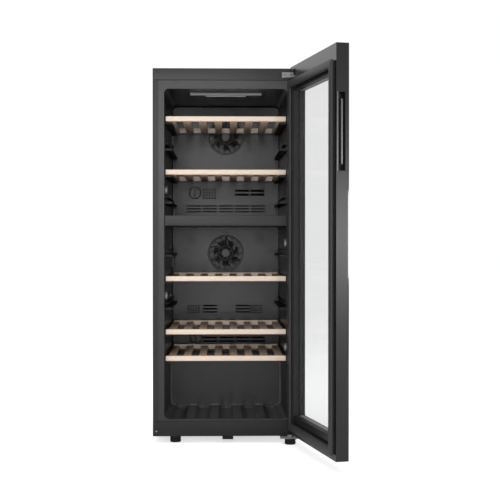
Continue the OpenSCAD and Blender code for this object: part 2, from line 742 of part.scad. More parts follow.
// Finned condenser block on the intake side of its fan.
coil_w = 40;
coil_h = 150;
coil_front = bay_y + 10;
fin_count = 9;
fin_pitch = 15;
fin_t = 1.2;
coil_len = fin_count * fin_pitch;
coil_tube_r = 4;
coil_row_pitch = 28;
module condenser_coil() color("silver") {
    coil_low = floor_gap + tray_t + fit;
    for (i = [0 : fin_count - 1])
        translate([condenser_x, coil_front + 4 + i * fin_pitch, coil_low]) cube([coil_w, fin_t, coil_h]);
    for (row = [0 : 4], column = [-1, 1])
        translate([condenser_x + coil_w / 2 + column * 10, coil_front, coil_low + 20 + row * coil_row_pitch])
            rotate([-90, 0, 0]) cylinder(r = coil_tube_r, h = coil_len);
}

fan_x = condenser_x + coil_w + 34;
fan_y = coil_front + coil_len / 2;
condenser_fan_z = floor_gap + 20 + condenser_fan_r;
shroud_d = 20;
shroud_edge = 9;                                           // from the blades' tips to the shroud's sides
condenser_motor_r = 22;
condenser_hub = [17, 16];                                  // radius and depth
condenser_blades = 5;
module condenser_fan_motor() color("black") {
    difference() {
        translate([fan_x - shroud_d - 10, fan_y - condenser_fan_r - shroud_edge, floor_gap + tray_t + fit])
            cube([shroud_d, 2 * (condenser_fan_r + shroud_edge), 2 * (condenser_fan_r + 16)]);
        rod_x(fan_x - shroud_d - 11, fan_y, condenser_fan_z, condenser_fan_r + 3, shroud_d + 2);
    }
    rod_x(fan_x, fan_y, condenser_fan_z, condenser_motor_r, 34);
    rod_x(fan_x - 14, fan_y, condenser_fan_z, shaft_r, 15);
    for (angle = [90, 210, 330]) translate([fan_x + 12, fan_y, condenser_fan_z]) rotate([angle, 0, 0])
        translate([0, 0, 20]) cube([3, 8, condenser_fan_r - 12], center = false);
    for (angle = [90, 210, 330]) translate([fan_x - 11, fan_y, condenser_fan_z]) rotate([angle, 0, 0])
        translate([0, 0, condenser_fan_r + 4]) cube([26, 8, 4]);
}
module condenser_fan_rotor() color("dimgray")
    translate([fan_x - 22, fan_y, condenser_fan_z]) rotate([0, 90, 0]) difference() {
        union() {
            cylinder(r = condenser_hub[0], h = condenser_hub[1]);
            for (i = [0 : condenser_blades - 1]) rotate([0, 0, i * 360 / condenser_blades])
                translate([condenser_hub[0] - 1, 0, condenser_hub[1] / 2]) rotate([30, 0, 0])
                    translate([0, -13, -0.8]) cube([condenser_fan_r - condenser_hub[0], 26, 1.6]);
        }
        translate([0, 0, 6]) cylinder(r = shaft_r + shaft_fit, h = 20);
    }

inlet_x = -60;
inlet_z = 190;
inlet_w = 47;
inlet_h = 33;
inlet_d = 18;
inlet_rim = [56, 2, 40];
inlet_neck = [40, 1, 28];
socket = [24, 14, 17];                                     // width, depth and height
pin = [2, 11, 4];
pin_places = [[-7, -1], [0, 3], [7, -1]];
module power_inlet() color("black") {
    for (place = pin_places)
        translate([inlet_x + place[0] - pin[0] / 2, cabinet_d - socket[1] - eps,
                   inlet_z + place[1] - pin[2] / 2])
            cube(pin);
    difference() {
        translate([inlet_x, cabinet_d, inlet_z]) {
            translate([-inlet_w / 2, -inlet_d, -inlet_h / 2]) cube([inlet_w, inlet_d + 1, inlet_h]);
            translate([-inlet_rim[0] / 2, sheet_t + fit, -inlet_rim[2] / 2]) cube(inlet_rim);
            translate([-inlet_neck[0] / 2, sheet_t - eps, -inlet_neck[2] / 2]) cube(inlet_neck);
        }
        translate([inlet_x - socket[0] / 2, cabinet_d - socket[1], inlet_z - socket[2] / 2])
            cube([socket[0], 3 * socket[1], socket[2]]);
    }
}

board = [70, 80, 28];
module control_board() color("green")
    translate([-64, bay_y + 22, bay_z - pipe_drop - board[2]]) cube(board);

// ---- Hinges and feet ----

// Upper hinge: a block on the top trim and an arm out to the pin, which points down into the door.
bracket_x = hinge_x - 44;
bracket = [39, 6, 19];
arm_r = 9;
screw_head_t = 2;
screw_head_r = 3.6;
module hinge_bracket_top() color("silver")
    difference() {
        union() {
            translate([bracket_x, -bracket[1], arm_z]) cube([bracket[0], bracket[1] - fit, bracket[2]]);
            arm_plate(arm_z);
            translate([hinge_x, hinge_y, notch_z - pin_reach])
                cylinder(r = hinge_pin_r, h = arm_top - notch_z + pin_reach);
        }
        hinge_screw_holes(top_screw_r + 2 * fit);
    }

module arm_plate(z) {
    translate([0, 0, z]) linear_extrude(height = arm_t) {
        translate([hinge_x, hinge_y]) circle(r = arm_r);
        polygon([[bracket_x, -fit], [bracket_x, -bracket[1]], [hinge_x - 8, hinge_y - 3.5],
                 [hinge_x + arm_r, hinge_y], [bracket_x + bracket[0], -fit]]);
    }
}

top_screw_r = 1.9;
function screw_spots() = [[bracket_x + 9, arm_z + 12], [bracket_x + 30, arm_z + 12]];
module hinge_screw_holes(r)
    for (s = screw_spots()) rod_y(s[0], -10, s[1], r, 30);
module hinge_screws() color("silver") {
    for (s = screw_spots()) {
        rod_y(s[0], -bracket[1] - screw_head_t, s[1], screw_head_r, screw_head_t - fit);
        rod_y(s[0], -bracket[1] - fit - eps, s[1], top_screw_r, 14);
    }
    for (x = lower_screw_x) {
        translate([x, lower_screw_y, lower_arm_z - screw_head_t]) cylinder(r = 4, h = screw_head_t - fit);
        translate([x, lower_screw_y, lower_arm_z - fit - eps]) cylinder(r = lower_screw_r, h = arm_t + 8);
    }
}

// Lower hinge: a plate under the front corner that carries the pin and the right-hand foot.
lower_screw_y = trim_d + 24;
lower_screw_x = [hinge_x - 42, hinge_x - 18];
lower_screw_r = 2.4;
lower_plate_w = 50;
lower_plate_edge = 12;
module lower_screw_holes(r, top)
    for (x = lower_screw_x)
        translate([x, lower_screw_y, lower_arm_z - 1]) cylinder(r = r, h = top - lower_arm_z + 1);
right_foot_x = hinge_x - 17;
right_foot_y = -22;
module hinge_bracket_bottom() color("silver")
    difference() {
        union() {
            translate([0, 0, lower_arm_z]) linear_extrude(height = arm_t - fit) {
                translate([hinge_x - lower_plate_w, right_foot_y - lower_plate_edge])
                    square([lower_plate_w + arm_r, lower_screw_y - right_foot_y + 2 * lower_plate_edge]);
                translate([hinge_x, hinge_y]) circle(r = arm_r);
            }
            translate([hinge_x, hinge_y, lower_arm_z + 1])
                cylinder(r = hinge_pin_r, h = door_bottom + pin_reach - lower_arm_z - 1);
            translate([hinge_x, hinge_y, lower_arm_z + 1])
                cylinder(r = hinge_pin_r + 3, h = door_bottom - lower_arm_z - 2);
            translate([right_foot_x, right_foot_y, lower_arm_z]) cylinder(r = sleeve_r, h = 12);
        }
        translate([right_foot_x, right_foot_y, lower_arm_z - 1]) cylinder(r = stud_r + stud_fit, h = 10);
        lower_screw_holes(lower_screw_r + fit, floor_gap);
    }

sleeve_r = stud_r + 4;
sleeve_h = 24;
left_foot_x = -172;
left_foot_y = trim_d + foot_r + 2;
foot_h = 12;
collar_gap = 0.3;                                          // above a foot's disc, when it is wound right in
collar_bore = 0.5;                                         // between a collar and its stud
skid = [37, 26, 11];                                       // block under the middle of the front

module foot_pocket(x, y)
    translate([x, y, 0]) cylinder(r = sleeve_r + fit, h = floor_gap + sheet_t + sleeve_h + fit);

// Threaded sleeve on the underside for the left-hand foot.
module foot_sleeve()
    difference() {
        translate([left_foot_x, left_foot_y, floor_gap + sheet_t - eps]) cylinder(r = sleeve_r, h = sleeve_h);
        translate([left_foot_x, left_foot_y, floor_gap]) cylinder(r = stud_r + stud_fit, h = sleeve_h - 2);
    }

module levelling_foot(x, y, top_z)
    translate([x, y, 0]) {
        cylinder(r = foot_r, h = foot_h);
        translate([0, 0, foot_h - eps]) cylinder(r = stud_r, h = top_z - foot_h);
    }
module front_foot_left() color("dimgray") levelling_foot(left_foot_x, left_foot_y, floor_gap + 17);
module front_foot_right() color("dimgray") levelling_foot(right_foot_x, right_foot_y, lower_arm_z + 7);

module fixed_feet() color("dimgray") {
    for (side = [-1, 1]) translate([side * (half_w - 40), cabinet_d - 34, 0])
        cylinder(r = foot_r, h = floor_gap - fit);
    translate([-12, 1, floor_gap - skid[2]]) cube([skid[0], skid[1], skid[2] - fit]);
    foot_collar(left_foot_x, left_foot_y, floor_gap);
    foot_collar(right_foot_x, right_foot_y, lower_arm_z);
}
// Fixed ring over a levelling foot, round its stud.
module foot_collar(x, y, top_z)
    translate([x, y, foot_h + collar_gap])
        difference() {
            cylinder(r = foot_r, h = top_z - fit - foot_h - collar_gap);
            translate([0, 0, -1]) cylinder(r = stud_r + collar_bore, h = floor_gap);
        }

// ---- Door ----

// One bar of the door frame, cut out for the glass unit and for the gasket's root.
module frame_blank() {
    translate([-half_w, frame_out, door_bottom]) cube([door_w, door_in - frame_out, door_h]);
}
rebate = spacer_w + fit;
module window_cut() {
    translate([-window_x, frame_out - 1, window_bottom]) cube([2 * window_x, door_t + 2, window_h]);
    translate([-window_x - rebate, frame_out - 1, window_bottom - rebate])
        cube([2 * (window_x + rebate), pane_in_in + fit - frame_out + 1, window_h + 2 * rebate]);
}
module door_rails() color("dimgray") at_door_angle()
    difference() {
        for (z_span = [[window_top - 2 * rebate, cabinet_top], [door_bottom, window_bottom + 2 * rebate]])
            frame_bar([-window_x + fit / 2, window_x - fit / 2], z_span);
        bracket_notch();
    }
// Room in the door's top for the upper bracket, from shut to fully open.
module bracket_notch()
    translate([notch_x, hinge_y - 11, notch_z]) cube([cabinet_w, door_t, notch_top - notch_z]);
module door_stile_free() color("dimgray") at_door_angle()
    difference() {
        frame_bar([-half_w, -window_x], [door_bottom, cabinet_top]);
        grip_groove(0);
    }
module door_stile_hinge() color("dimgray") at_door_angle()
    difference() {
        frame_bar([window_x, half_w], [door_bottom, cabinet_top]);
        bracket_notch();
        translate([hinge_x, hinge_y, notch_z - pin_reach - 4]) cylinder(r = bush_r + 0.05, h = pin_reach + 8);
        translate([hinge_x, hinge_y, door_bottom - 1]) cylinder(r = bush_r + 0.05, h = pin_reach + 5);
    }
module frame_bar(x_span, z_span)
    difference() {
        intersection() {
            frame_blank();
            translate([x_span[0], frame_out - 1, z_span[0]])
                cube([x_span[1] - x_span[0], door_t + 2, z_span[1] - z_span[0]]);
        }
        window_cut();
    }

grip_y = door_out + 11;                                  // outer side of the grip's groove
module grip_groove(inset)
    translate([-half_w - 1, grip_y + inset, grip_z - grip_len / 2 + inset])
        cube([grip_depth + 1 - inset, grip_w - 2 * inset, grip_len - 2 * inset]);

grip_wall = 1.5;
grip_bar_w = 6.2;
grip_bar_stand = 15;
grip_bar_place = 8.5;                                      // from the groove's outer side to the bar's middle
// A cup that lines the groove, with a bright bar standing on its bottom.
module handle_grip() color("silver") at_door_angle()
    difference() {
        grip_groove(fit);
        translate([-half_w - 2, grip_y + grip_wall, grip_z - grip_len / 2 + grip_wall])
            difference() {
                cube([grip_depth + 2 - grip_wall, grip_w - 2 * grip_wall, grip_len - 2 * grip_wall]);
                translate([grip_depth - grip_bar_stand, grip_bar_place - grip_bar_w / 2 - grip_wall,
                           (grip_len - grip_bar_len) / 2 - grip_wall])
                    cube([grip_depth, grip_bar_w, grip_bar_len]);
            }
        translate([-half_w - 2, grip_y - 1, grip_z - grip_len]) cube([2, grip_w + 2, 2 * grip_len]);
    }

module outer_glass() color("lightblue") at_door_angle()
    translate([-half_w, door_out, door_bottom]) cube([door_w, glass_t - eps, door_h]);

module inner_glass() color("lightblue") at_door_angle()
    translate([-window_x - spacer_w, pane_in_out + eps, window_bottom - spacer_w])
        cube([2 * (window_x + spacer_w), glass_t - 2 * eps, window_h + 2 * spacer_w]);

module glass_spacer() color("silver") at_door_angle()
    difference() {
        translate([-window_x - spacer_w, frame_out + eps, window_bottom - spacer_w])
            cube([2 * (window_x + spacer_w), pane_gap - 2 * eps, window_h + 2 * spacer_w]);
        translate([-window_x, frame_out - 1, window_bottom]) cube([2 * window_x, pane_gap + 2, window_h]);
    }

// The gasket: a base against the door, a narrow bellows and a wider magnet tube.
gasket_out_x = half_w - 11;
gasket_top = trim_bottom - 6;
gasket_low = floor_gap + 27;
gasket_w = 26;
gasket_r = 5;
root_t = 4;                                                // thickness of the root and of the bellows
module gasket_ring(inset, from_y, to_y)
    plate_xz(from_y, to_y - from_y)
        difference() {
            gasket_outline(inset);
            gasket_outline(gasket_w - inset);
        }
module gasket_outline(inset)
    translate([-gasket_out_x + inset, gasket_low + inset])
        rounded_rect(2 * (gasket_out_x - inset), gasket_top - gasket_low - 2 * inset, gasket_r);
module door_gasket() color("black") at_door_angle() {
    gasket_ring(2, door_in, door_in + root_t);
    gasket_ring(8, door_in + root_t - eps, door_in + 2 * root_t);
    gasket_ring(0, door_in + 2 * root_t - eps, -contact_gap);
}

module bush(z) translate([hinge_x, hinge_y, z]) difference() {
    cylinder(r = bush_r, h = pin_reach);
    translate([0, 0, -1]) cylinder(r = hinge_pin_r + hinge_fit, h = pin_reach + 2);
}
module hinge_bushes() color("white") at_door_angle() {
    bush(notch_z - pin_reach);
    bush(door_bottom);
}

// ---- Shelves ----

back_bar_w = rack_w - 2 * keeper_reach - 2 * shelf_play;   // passes between the keeper lips
slat_centres = [for (i = [0 : slat_count - 1]) -rack_w / 2 + slat_w / 2 + i * slat_pitch];

module shelf_front(level) color("burlywood")
    difference() {
        translate([-front_bar_w / 2, shelf_setback, level_z(level) - bar_h])
            cube([front_bar_w, front_bar_d, bar_h]);
        for (x = slat_centres)
            translate([x - slat_w / 2 - fit / 2, shelf_setback + front_bar_d / 2,
                       level_z(level) - slat_drop - slat_h - fit / 2])
                cube([slat_w + fit, front_bar_d, slat_h + fit]);
    }

module shelf_rack(level) color("tan") {
    back_y = shelf_setback + shelf_d - back_bar_d;
    slat_low = level_z(level) - slat_drop - slat_h;
    for (x = slat_centres)
        translate([x - slat_w / 2, shelf_setback + front_bar_d / 2 + fit, slat_low])
            difference() {
                cube([slat_w, shelf_d - front_bar_d / 2 - fit, slat_h]);
                translate([-1, back_y - shelf_setback - front_bar_d / 2 - fit, lap])
                    cube([slat_w + 2, back_bar_d + 2, slat_h]);
            }
    difference() {
        translate([-back_bar_w / 2, back_y + fit, slat_low]) cube([back_bar_w, back_bar_d - fit, back_bar_h]);
        for (x = slat_centres)
            translate([x - slat_w / 2 - fit, back_y - 1, slat_low - 1])
                cube([slat_w + 2 * fit, back_bar_d + 2, lap + 1 + fit]);
    }
}

outer_shell();
top_trim();
bottom_fascia();
blanking_caps();
inner_liner();
foam_insulation();
rear_panel();
base_pan();
compressor_tray();
compressor_cover();
zone_divider();
evaporator_cover_upper();
evaporator_cover_lower();
evaporators();
fan_motors();
fan_rotor_upper();
fan_rotor_lower();
fan_guards();
carbon_filter_upper();
carbon_filter_lower();
lamp_housings();
lamp_lenses();
control_panel();
shelf_guides();
temperature_sensors();
compressor();
compressor_mounts();
condensate_tray();
drain_tube();
refrigerant_pipes();
condenser_coil();
condenser_fan_motor();
condenser_fan_rotor();
power_inlet();
control_board();
hinge_bracket_top();
hinge_bracket_bottom();
hinge_screws();
front_foot_left();
front_foot_right();
fixed_feet();
door_rails();
door_stile_free();
door_stile_hinge();
handle_grip();
outer_glass();
inner_glass();
glass_spacer();
door_gasket();
hinge_bushes();
for (i = [0 : len(shelf_levels) - 1]) {
    shelf_front(shelf_levels[i]);
    shelf_rack(shelf_levels[i]);
}
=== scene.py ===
import json
import math
import bmesh
import bpy
import numpy as np
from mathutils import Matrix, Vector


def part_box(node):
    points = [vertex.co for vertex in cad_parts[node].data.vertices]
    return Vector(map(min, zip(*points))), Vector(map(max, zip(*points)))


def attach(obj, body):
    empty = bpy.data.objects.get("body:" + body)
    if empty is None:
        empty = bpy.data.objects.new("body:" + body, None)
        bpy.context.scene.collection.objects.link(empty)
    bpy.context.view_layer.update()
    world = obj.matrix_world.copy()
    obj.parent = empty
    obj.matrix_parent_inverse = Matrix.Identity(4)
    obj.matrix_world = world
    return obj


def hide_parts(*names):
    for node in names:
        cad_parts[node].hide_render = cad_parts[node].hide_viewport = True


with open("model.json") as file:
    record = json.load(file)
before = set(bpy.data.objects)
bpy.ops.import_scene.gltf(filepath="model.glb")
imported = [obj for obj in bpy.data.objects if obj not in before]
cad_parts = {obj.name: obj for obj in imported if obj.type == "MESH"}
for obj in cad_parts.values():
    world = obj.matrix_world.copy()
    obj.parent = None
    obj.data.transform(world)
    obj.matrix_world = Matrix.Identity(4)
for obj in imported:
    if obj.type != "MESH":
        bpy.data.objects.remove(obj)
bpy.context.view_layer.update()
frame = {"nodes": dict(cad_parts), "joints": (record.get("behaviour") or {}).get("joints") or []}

mm = 0.001
tau = 2 * math.pi


def circle(steps):
    # Evenly spaced angles once round, without the last.
    return np.linspace(0, tau, steps, endpoint=False)


def cadBox(node):
    # The two opposite corners of a CAD node's box.
    return [np.array(corner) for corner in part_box(node)]


# ---- Camera ----

view = {"distance": 3.750, "height": 0.689, "turn": 1.25, "dip": 0.52, "lens": 79.67}


def placeCamera():
    data = bpy.data.cameras.new("viewCamera")
    data.lens = view["lens"]
    data.sensor_width = 36
    camera = bpy.data.objects.new("viewCamera", data)
    camera.location = (0, -view["distance"], view["height"])
    camera.rotation_euler = (math.radians(90 - view["dip"]), 0, math.radians(-view["turn"]))
    bpy.context.scene.collection.objects.link(camera)
    bpy.context.scene.camera = camera


placeCamera()
print("camera placed")


# ---- Shapes: every one is a grid of points or a set of them ----

def gridFaces(rows, columns, closeRows, closeColumns):
    # Quads between neighbouring points of a grid; a closed direction also joins its last line to its first.
    i = np.arange(rows if closeRows else rows - 1)
    j = np.arange(columns if closeColumns else columns - 1)
    i, j = np.meshgrid(i, j, indexing="ij")
    nextI, nextJ = (i + 1) % rows, (j + 1) % columns
    quads = np.stack([i * columns + j, nextI * columns + j, nextI * columns + nextJ, i * columns + nextJ], -1)
    return quads.reshape(-1, 4)


def loft(grid, closeRows=False, closeColumns=True, caps=True):
    # A skin over a grid of points, with a flat cap on the first and last row where the rows don't close.
    rows, columns = grid.shape[:2]
    faces = gridFaces(rows, columns, closeRows, closeColumns).tolist()
    if caps and closeColumns and not closeRows:
        faces.append(list(range(columns)))
        faces.append([(rows - 1) * columns + k for k in range(columns)])
    return grid.reshape(-1, 3), faces


def drawnAlong(axis, section, ends):
    # A flat outline drawn along x, y or z from one end to the other.
    return loft(np.stack([np.insert(section, axis, end, axis=1) for end in ends]))


def joined(parts):
    # Several point sets as one: each set's faces count on from the points before it.
    points, faces, start = [], [], 0
    for somePoints, someFaces in parts:
        points.append(np.asarray(somePoints, float))
        faces += [[index + start for index in face] for face in someFaces]
        start += len(somePoints)
    return np.concatenate(points), faces


def welded(points, faces):
    # Points in the same place become one point.
    kept, which = np.unique(np.round(points, 7), axis=0, return_inverse=True)
    which = which.ravel()
    out = []
    for face in faces:
        ring = [int(which[index]) for index in face]
        ring = [a for k, a in enumerate(ring) if a != ring[k - 1]]
        if len(ring) > 2:
            out.append(ring)
    return kept, out


def roundedBlock(low, high, radius, arc=3):
    # A box's surface: each point is pulled into the inner box, then pushed out by the radius.
    low, high = np.asarray(low, float), np.asarray(high, float)
    radius = min(radius, 0.499 * float((high - low).min()))
    edge = radius * np.tan(np.linspace(0, math.pi / 4, arc + 1))
    lines = [np.concatenate([low[a] + radius - edge[::-1], high[a] - radius + edge]) for a in range(3)]
    parts = []
    for axis in range(3):
        u, v = (axis + 1) % 3, (axis + 2) % 3
        for end in (low, high):
            a, b = np.meshgrid(lines[u], lines[v], indexing="ij")
            points = np.zeros(a.shape + (3,))
            points[..., axis], points[..., u], points[..., v] = end[axis], a, b
            parts.append(loft(points, closeColumns=False))
    points, faces = joined(parts)
    inner = np.clip(points, low + radius, high - radius)
    reach = points - inner
    length = np.linalg.norm(reach, axis=1, keepdims=True)
    return welded(inner + radius * reach / np.maximum(length, 1e-12), faces)


def lathe(profile, centre, axis=(0, 0, 1), steps=48, flutes=0, fluteDepth=0.0):
    # (radius, height) points turned round an axis through the centre; flutes make the radius wave.
    profile = np.asarray(profile, float)
    axis = np.asarray(axis, float)
    side = np.array([0, 0, 1.0]) if abs(axis[2]) < 0.9 else np.array([1.0, 0, 0])
    u = np.cross(axis, side)
    u /= np.linalg.norm(u)
    v = np.cross(axis, u)
    angle = circle(steps)
    wave = 1 - fluteDepth * (0.5 - 0.5 * np.cos(flutes * angle))
    around = np.cos(angle)[:, None] * u + np.sin(angle)[:, None] * v
    radius = profile[:, 0][:, None, None] * wave[None, :, None]
    grid = np.asarray(centre) + profile[:, 1][:, None, None] * axis + radius * around[None]
    return loft(grid)


def roundedLoop(left, right, low, high, radius, steps=6):
    # Points round a rectangle with round corners, in x and z, as an (n, 2) array.
    turn = np.linspace(0, math.pi / 2, steps)
    corners = [(right - radius, high - radius, 0), (left + radius, high - radius, 1),
               (left + radius, low + radius, 2), (right - radius, low + radius, 3)]
    corners = [(x, z, turn + k * math.pi / 2) for x, z, k in corners]
    return np.concatenate([np.stack([x + radius * np.cos(a), z + radius * np.sin(a)], -1)
                           for x, z, a in corners])


def frameRing(rings):
    # A frame from a list of (left, right, low, high, corner radius, y) loops, closed back to the first.
    loops = []
    for left, right, low, high, radius, y in rings:
        loops.append(np.insert(roundedLoop(left, right, low, high, max(radius, 1e-6)), 1, y, axis=1))
    return loft(np.array(loops), closeRows=True)


def sweepTube(path, radius, sides=12):
    # A round tube along points: each ring stands square to the path.
    path = np.asarray(path, float)
    way = np.gradient(path, axis=0)
    way /= np.linalg.norm(way, axis=1, keepdims=True)
    guide = np.array([0.31, 0.52, 0.79])
    u = np.cross(way, guide)
    u /= np.linalg.norm(u, axis=1, keepdims=True)
    v = np.cross(way, u)
    angle = circle(sides)[None, :, None]
    return loft(path[:, None] + radius * (np.cos(angle) * u[:, None] + np.sin(angle) * v[:, None]))


def makePiece(name, shape, body, looks, stands=(), sharp=35):
    # Puts points and faces in a mesh, turns faces outwards and smooths all but the sharp edges.
    # The looks are the name of one finish or a list of names.
    points, faces = shape
    mesh = bpy.data.meshes.new(name)
    mesh.from_pydata(np.asarray(points).tolist(), [], faces)
    shell = bmesh.new()
    shell.from_mesh(mesh)
    bmesh.ops.recalc_face_normals(shell, faces=shell.faces)
    shell.to_mesh(mesh)
    shell.free()
    mesh.polygons.foreach_set("use_smooth", np.ones(len(mesh.polygons), bool))
    mesh.set_sharp_from_angle(angle=math.radians(sharp))
    piece = bpy.data.objects.new(name, mesh)
    bpy.context.scene.collection.objects.link(piece)
    for look in [looks] if isinstance(looks, str) else looks:
        mesh.materials.append(finishes[look])
    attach(piece, body)
    if stands:
        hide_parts(*stands)
    return piece


# ---- Surface effects ----

def newGroup(name, inputs, outputs):
    group = bpy.data.node_groups.new(name, "ShaderNodeTree")
    for socket, kind, value in inputs:
        made = group.interface.new_socket(name=socket, in_out="INPUT", socket_type=kind)
        if value is not None:
            made.default_value = value
    for socket, kind in outputs:
        group.interface.new_socket(name=socket, in_out="OUTPUT", socket_type=kind)
    return group, group.nodes.new("NodeGroupInput"), group.nodes.new("NodeGroupOutput")


def addNode(tree, kind, inputs=None, **settings):
    # A node with its settings and its inputs, each a value or a socket to link from.
    node = tree.nodes.new("ShaderNode" + kind)
    for key, value in settings.items():
        setattr(node, key, value)
    for key, value in (inputs or {}).items():
        if isinstance(value, bpy.types.NodeSocket):
            tree.links.new(value, node.inputs[key])
        else:
            node.inputs[key].default_value = value
    return node


def feed(tree, node, sockets):
    # Links each socket to the node's input of that name.
    for name, socket in sockets.items():
        tree.links.new(socket, node.inputs[name])


floatKind, colourKind, vectorKind = "NodeSocketFloat", "NodeSocketColor", "NodeSocketVector"


def buildMouldGrain():
    # Fine cells and soft waves over moulded plastic and paint, as a height.
    group, start, end = newGroup("mouldGrain", [("Scale", floatKind, 900.0), ("Waves", floatKind, 0.25)],
                                 [("Height", floatKind)])
    place = addNode(group, "TexCoord")
    cells = addNode(group, "TexVoronoi", {"Vector": place.outputs["Object"], "Scale": start.outputs["Scale"]},
                    feature="SMOOTH_F1")
    broad = addNode(group, "TexNoise", {"Vector": place.outputs["Object"], "Scale": 9.0, "Detail": 4.0})
    mixed = addNode(group, "Mix", {"Factor": start.outputs["Waves"], "A": cells.outputs["Distance"],
                                             "B": broad.outputs["Fac"]}, data_type="FLOAT")
    group.links.new(mixed.outputs["Result"], end.inputs["Height"])
    return group


def buildWear():
    # Handling marks: broad cloudy patches lighten a colour and change its roughness a little.
    inputs = [("Color", colourKind, None), ("Rough", floatKind, 0.5), ("Amount", floatKind, 0.15)]
    group, start, end = newGroup("wear", inputs, [("Color", colourKind), ("Rough", floatKind)])
    place = addNode(group, "TexCoord")
    clouds = addNode(group, "TexNoise", {"Vector": place.outputs["Object"], "Scale": 3.5, "Detail": 6.0,
                                                   "Roughness": 0.62})
    share = addNode(group, "Math", {0: clouds.outputs["Fac"], 1: start.outputs["Amount"]},
                    operation="MULTIPLY")
    lighter = addNode(group, "Mix", {"Factor": share.outputs[0], "A": start.outputs["Color"],
                                               "B": (0.5, 0.5, 0.5, 1)}, data_type="RGBA")
    rougher = addNode(group, "Math", {0: share.outputs[0], 1: start.outputs["Rough"]}, operation="ADD")
    feed(group, end, {"Color": lighter.outputs[2], "Rough": rougher.outputs[0]})
    return group


def buildTimber():
    # Growth lines and pores drawn out along the bar: colour, roughness and height.
    inputs = [("Vector", vectorKind, None), ("Light", colourKind, None), ("Dark", colourKind, None),
              ("Lines", floatKind, 55.0)]
    outputs = [("Color", colourKind), ("Rough", floatKind), ("Height", floatKind)]
    group, start, end = newGroup("timber", inputs, outputs)
    bend = addNode(group, "TexNoise", {"Vector": start.outputs["Vector"], "Scale": 2.2, "Detail": 3.0})
    shift = addNode(group, "VectorMath", {0: start.outputs["Vector"], 1: bend.outputs["Color"]},
                    operation="ADD")
    rings = addNode(group, "TexNoise", {"Vector": shift.outputs[0], "Scale": start.outputs["Lines"],
                                                  "Detail": 5.0, "Roughness": 0.6})
    pores = addNode(group, "TexNoise", {"Vector": start.outputs["Vector"], "Scale": 420.0, "Detail": 2.0})
    ramp = addNode(group, "MapRange", {"Value": rings.outputs["Fac"], "From Min": 0.32, "From Max": 0.68})
    tone = addNode(group, "Mix", {"Factor": ramp.outputs["Result"], "A": start.outputs["Light"],
                                            "B": start.outputs["Dark"]}, data_type="RGBA")
    fleck = addNode(group, "MapRange", {"Value": pores.outputs["Fac"], "From Min": 0.58, "From Max": 0.75,
                                                  "To Max": 0.22})
    flecked = addNode(group, "Mix", {"Factor": fleck.outputs["Result"], "A": tone.outputs[2],
                                               "B": (0.16, 0.09, 0.05, 1)}, data_type="RGBA")
    rough = addNode(group, "MapRange", {"Value": rings.outputs["Fac"], "To Min": 0.42, "To Max": 0.62})
    height = addNode(group, "Math", {0: rings.outputs["Fac"], 1: pores.outputs["Fac"]}, operation="ADD")
    feed(group, end, {"Color": flecked.outputs[2], "Rough": rough.outputs["Result"],
                      "Height": height.outputs[0]})
    return group


def buildBrushing():
    # Long fine scratches along one direction of the Vector given.
    group, start, end = newGroup("brushing", [("Vector", vectorKind, None)], [("Height", floatKind)])
    lines = addNode(group, "TexNoise", {"Vector": start.outputs["Vector"], "Scale": 700.0, "Detail": 3.0})
    group.links.new(lines.outputs["Fac"], end.inputs["Height"])
    return group


mouldGrain, wear, timber, brushing = buildMouldGrain(), buildWear(), buildTimber(), buildBrushing()


def placeGroup(tree, group, inputs):
    return addNode(tree, "Group", inputs, node_tree=group)


def newMaterial(name, rough=0.5, metal=0.0, coat=0.0, specular=0.5):
    material = bpy.data.materials.new(name)
    material.use_nodes = True
    shader = material.node_tree.nodes["Principled BSDF"]
    shader.inputs["Roughness"].default_value = rough
    shader.inputs["Metallic"].default_value = metal
    shader.inputs["Coat Weight"].default_value = coat
    shader.inputs["Specular IOR Level"].default_value = specular
    return material, material.node_tree, shader


def addBump(tree, shader, height, strength, distance):
    bump = addNode(tree, "Bump", {"Height": height, "Strength": strength, "Distance": distance})
    tree.links.new(bump.outputs["Normal"], shader.inputs["Normal"])


def moulded(name, colour, rough, grain, bump, metal=0.0, marks=0.02, coat=0.0, waves=0.25, specular=0.5):
    # Moulded plastic, rubber, paint or plated metal, told apart by colour, roughness and grain.
    material, tree, shader = newMaterial(name, rough, metal, coat, specular)
    marked = placeGroup(tree, wear, {"Color": (*colour, 1), "Rough": rough, "Amount": marks})
    grained = placeGroup(tree, mouldGrain, {"Scale": grain, "Waves": waves})
    feed(tree, shader, {"Base Color": marked.outputs["Color"], "Roughness": marked.outputs["Rough"]})
    addBump(tree, shader, grained.outputs["Height"], bump, 0.0004)
    return material


def wooden(name, light, dark, stretch):
    # Wood whose growth lines run along the axis that the stretch leaves smallest.
    material, tree, shader = newMaterial(name, 0.5)
    place = addNode(tree, "TexCoord")
    drawn = addNode(tree, "Mapping", {"Vector": place.outputs["Object"], "Scale": stretch})
    grain = placeGroup(tree, timber, {"Vector": drawn.outputs["Vector"], "Light": (*light, 1),
                                      "Dark": (*dark, 1)})
    feed(tree, shader, {"Base Color": grain.outputs["Color"], "Roughness": grain.outputs["Rough"]})
    addBump(tree, shader, grain.outputs["Height"], 0.25, 0.0006)
    return material


def brushed(name, colour, rough, stretch, metal=1.0):
    material, tree, shader = newMaterial(name, rough, metal)
    place = addNode(tree, "TexCoord")
    drawn = addNode(tree, "Mapping", {"Vector": place.outputs["Object"], "Scale": stretch})
    lines = placeGroup(tree, brushing, {"Vector": drawn.outputs["Vector"]})
    marked = placeGroup(tree, wear, {"Color": (*colour, 1), "Rough": rough, "Amount": 0.08})
    feed(tree, shader, {"Base Color": marked.outputs["Color"], "Roughness": marked.outputs["Rough"]})
    addBump(tree, shader, lines.outputs["Height"], 0.2, 0.0003)
    return material


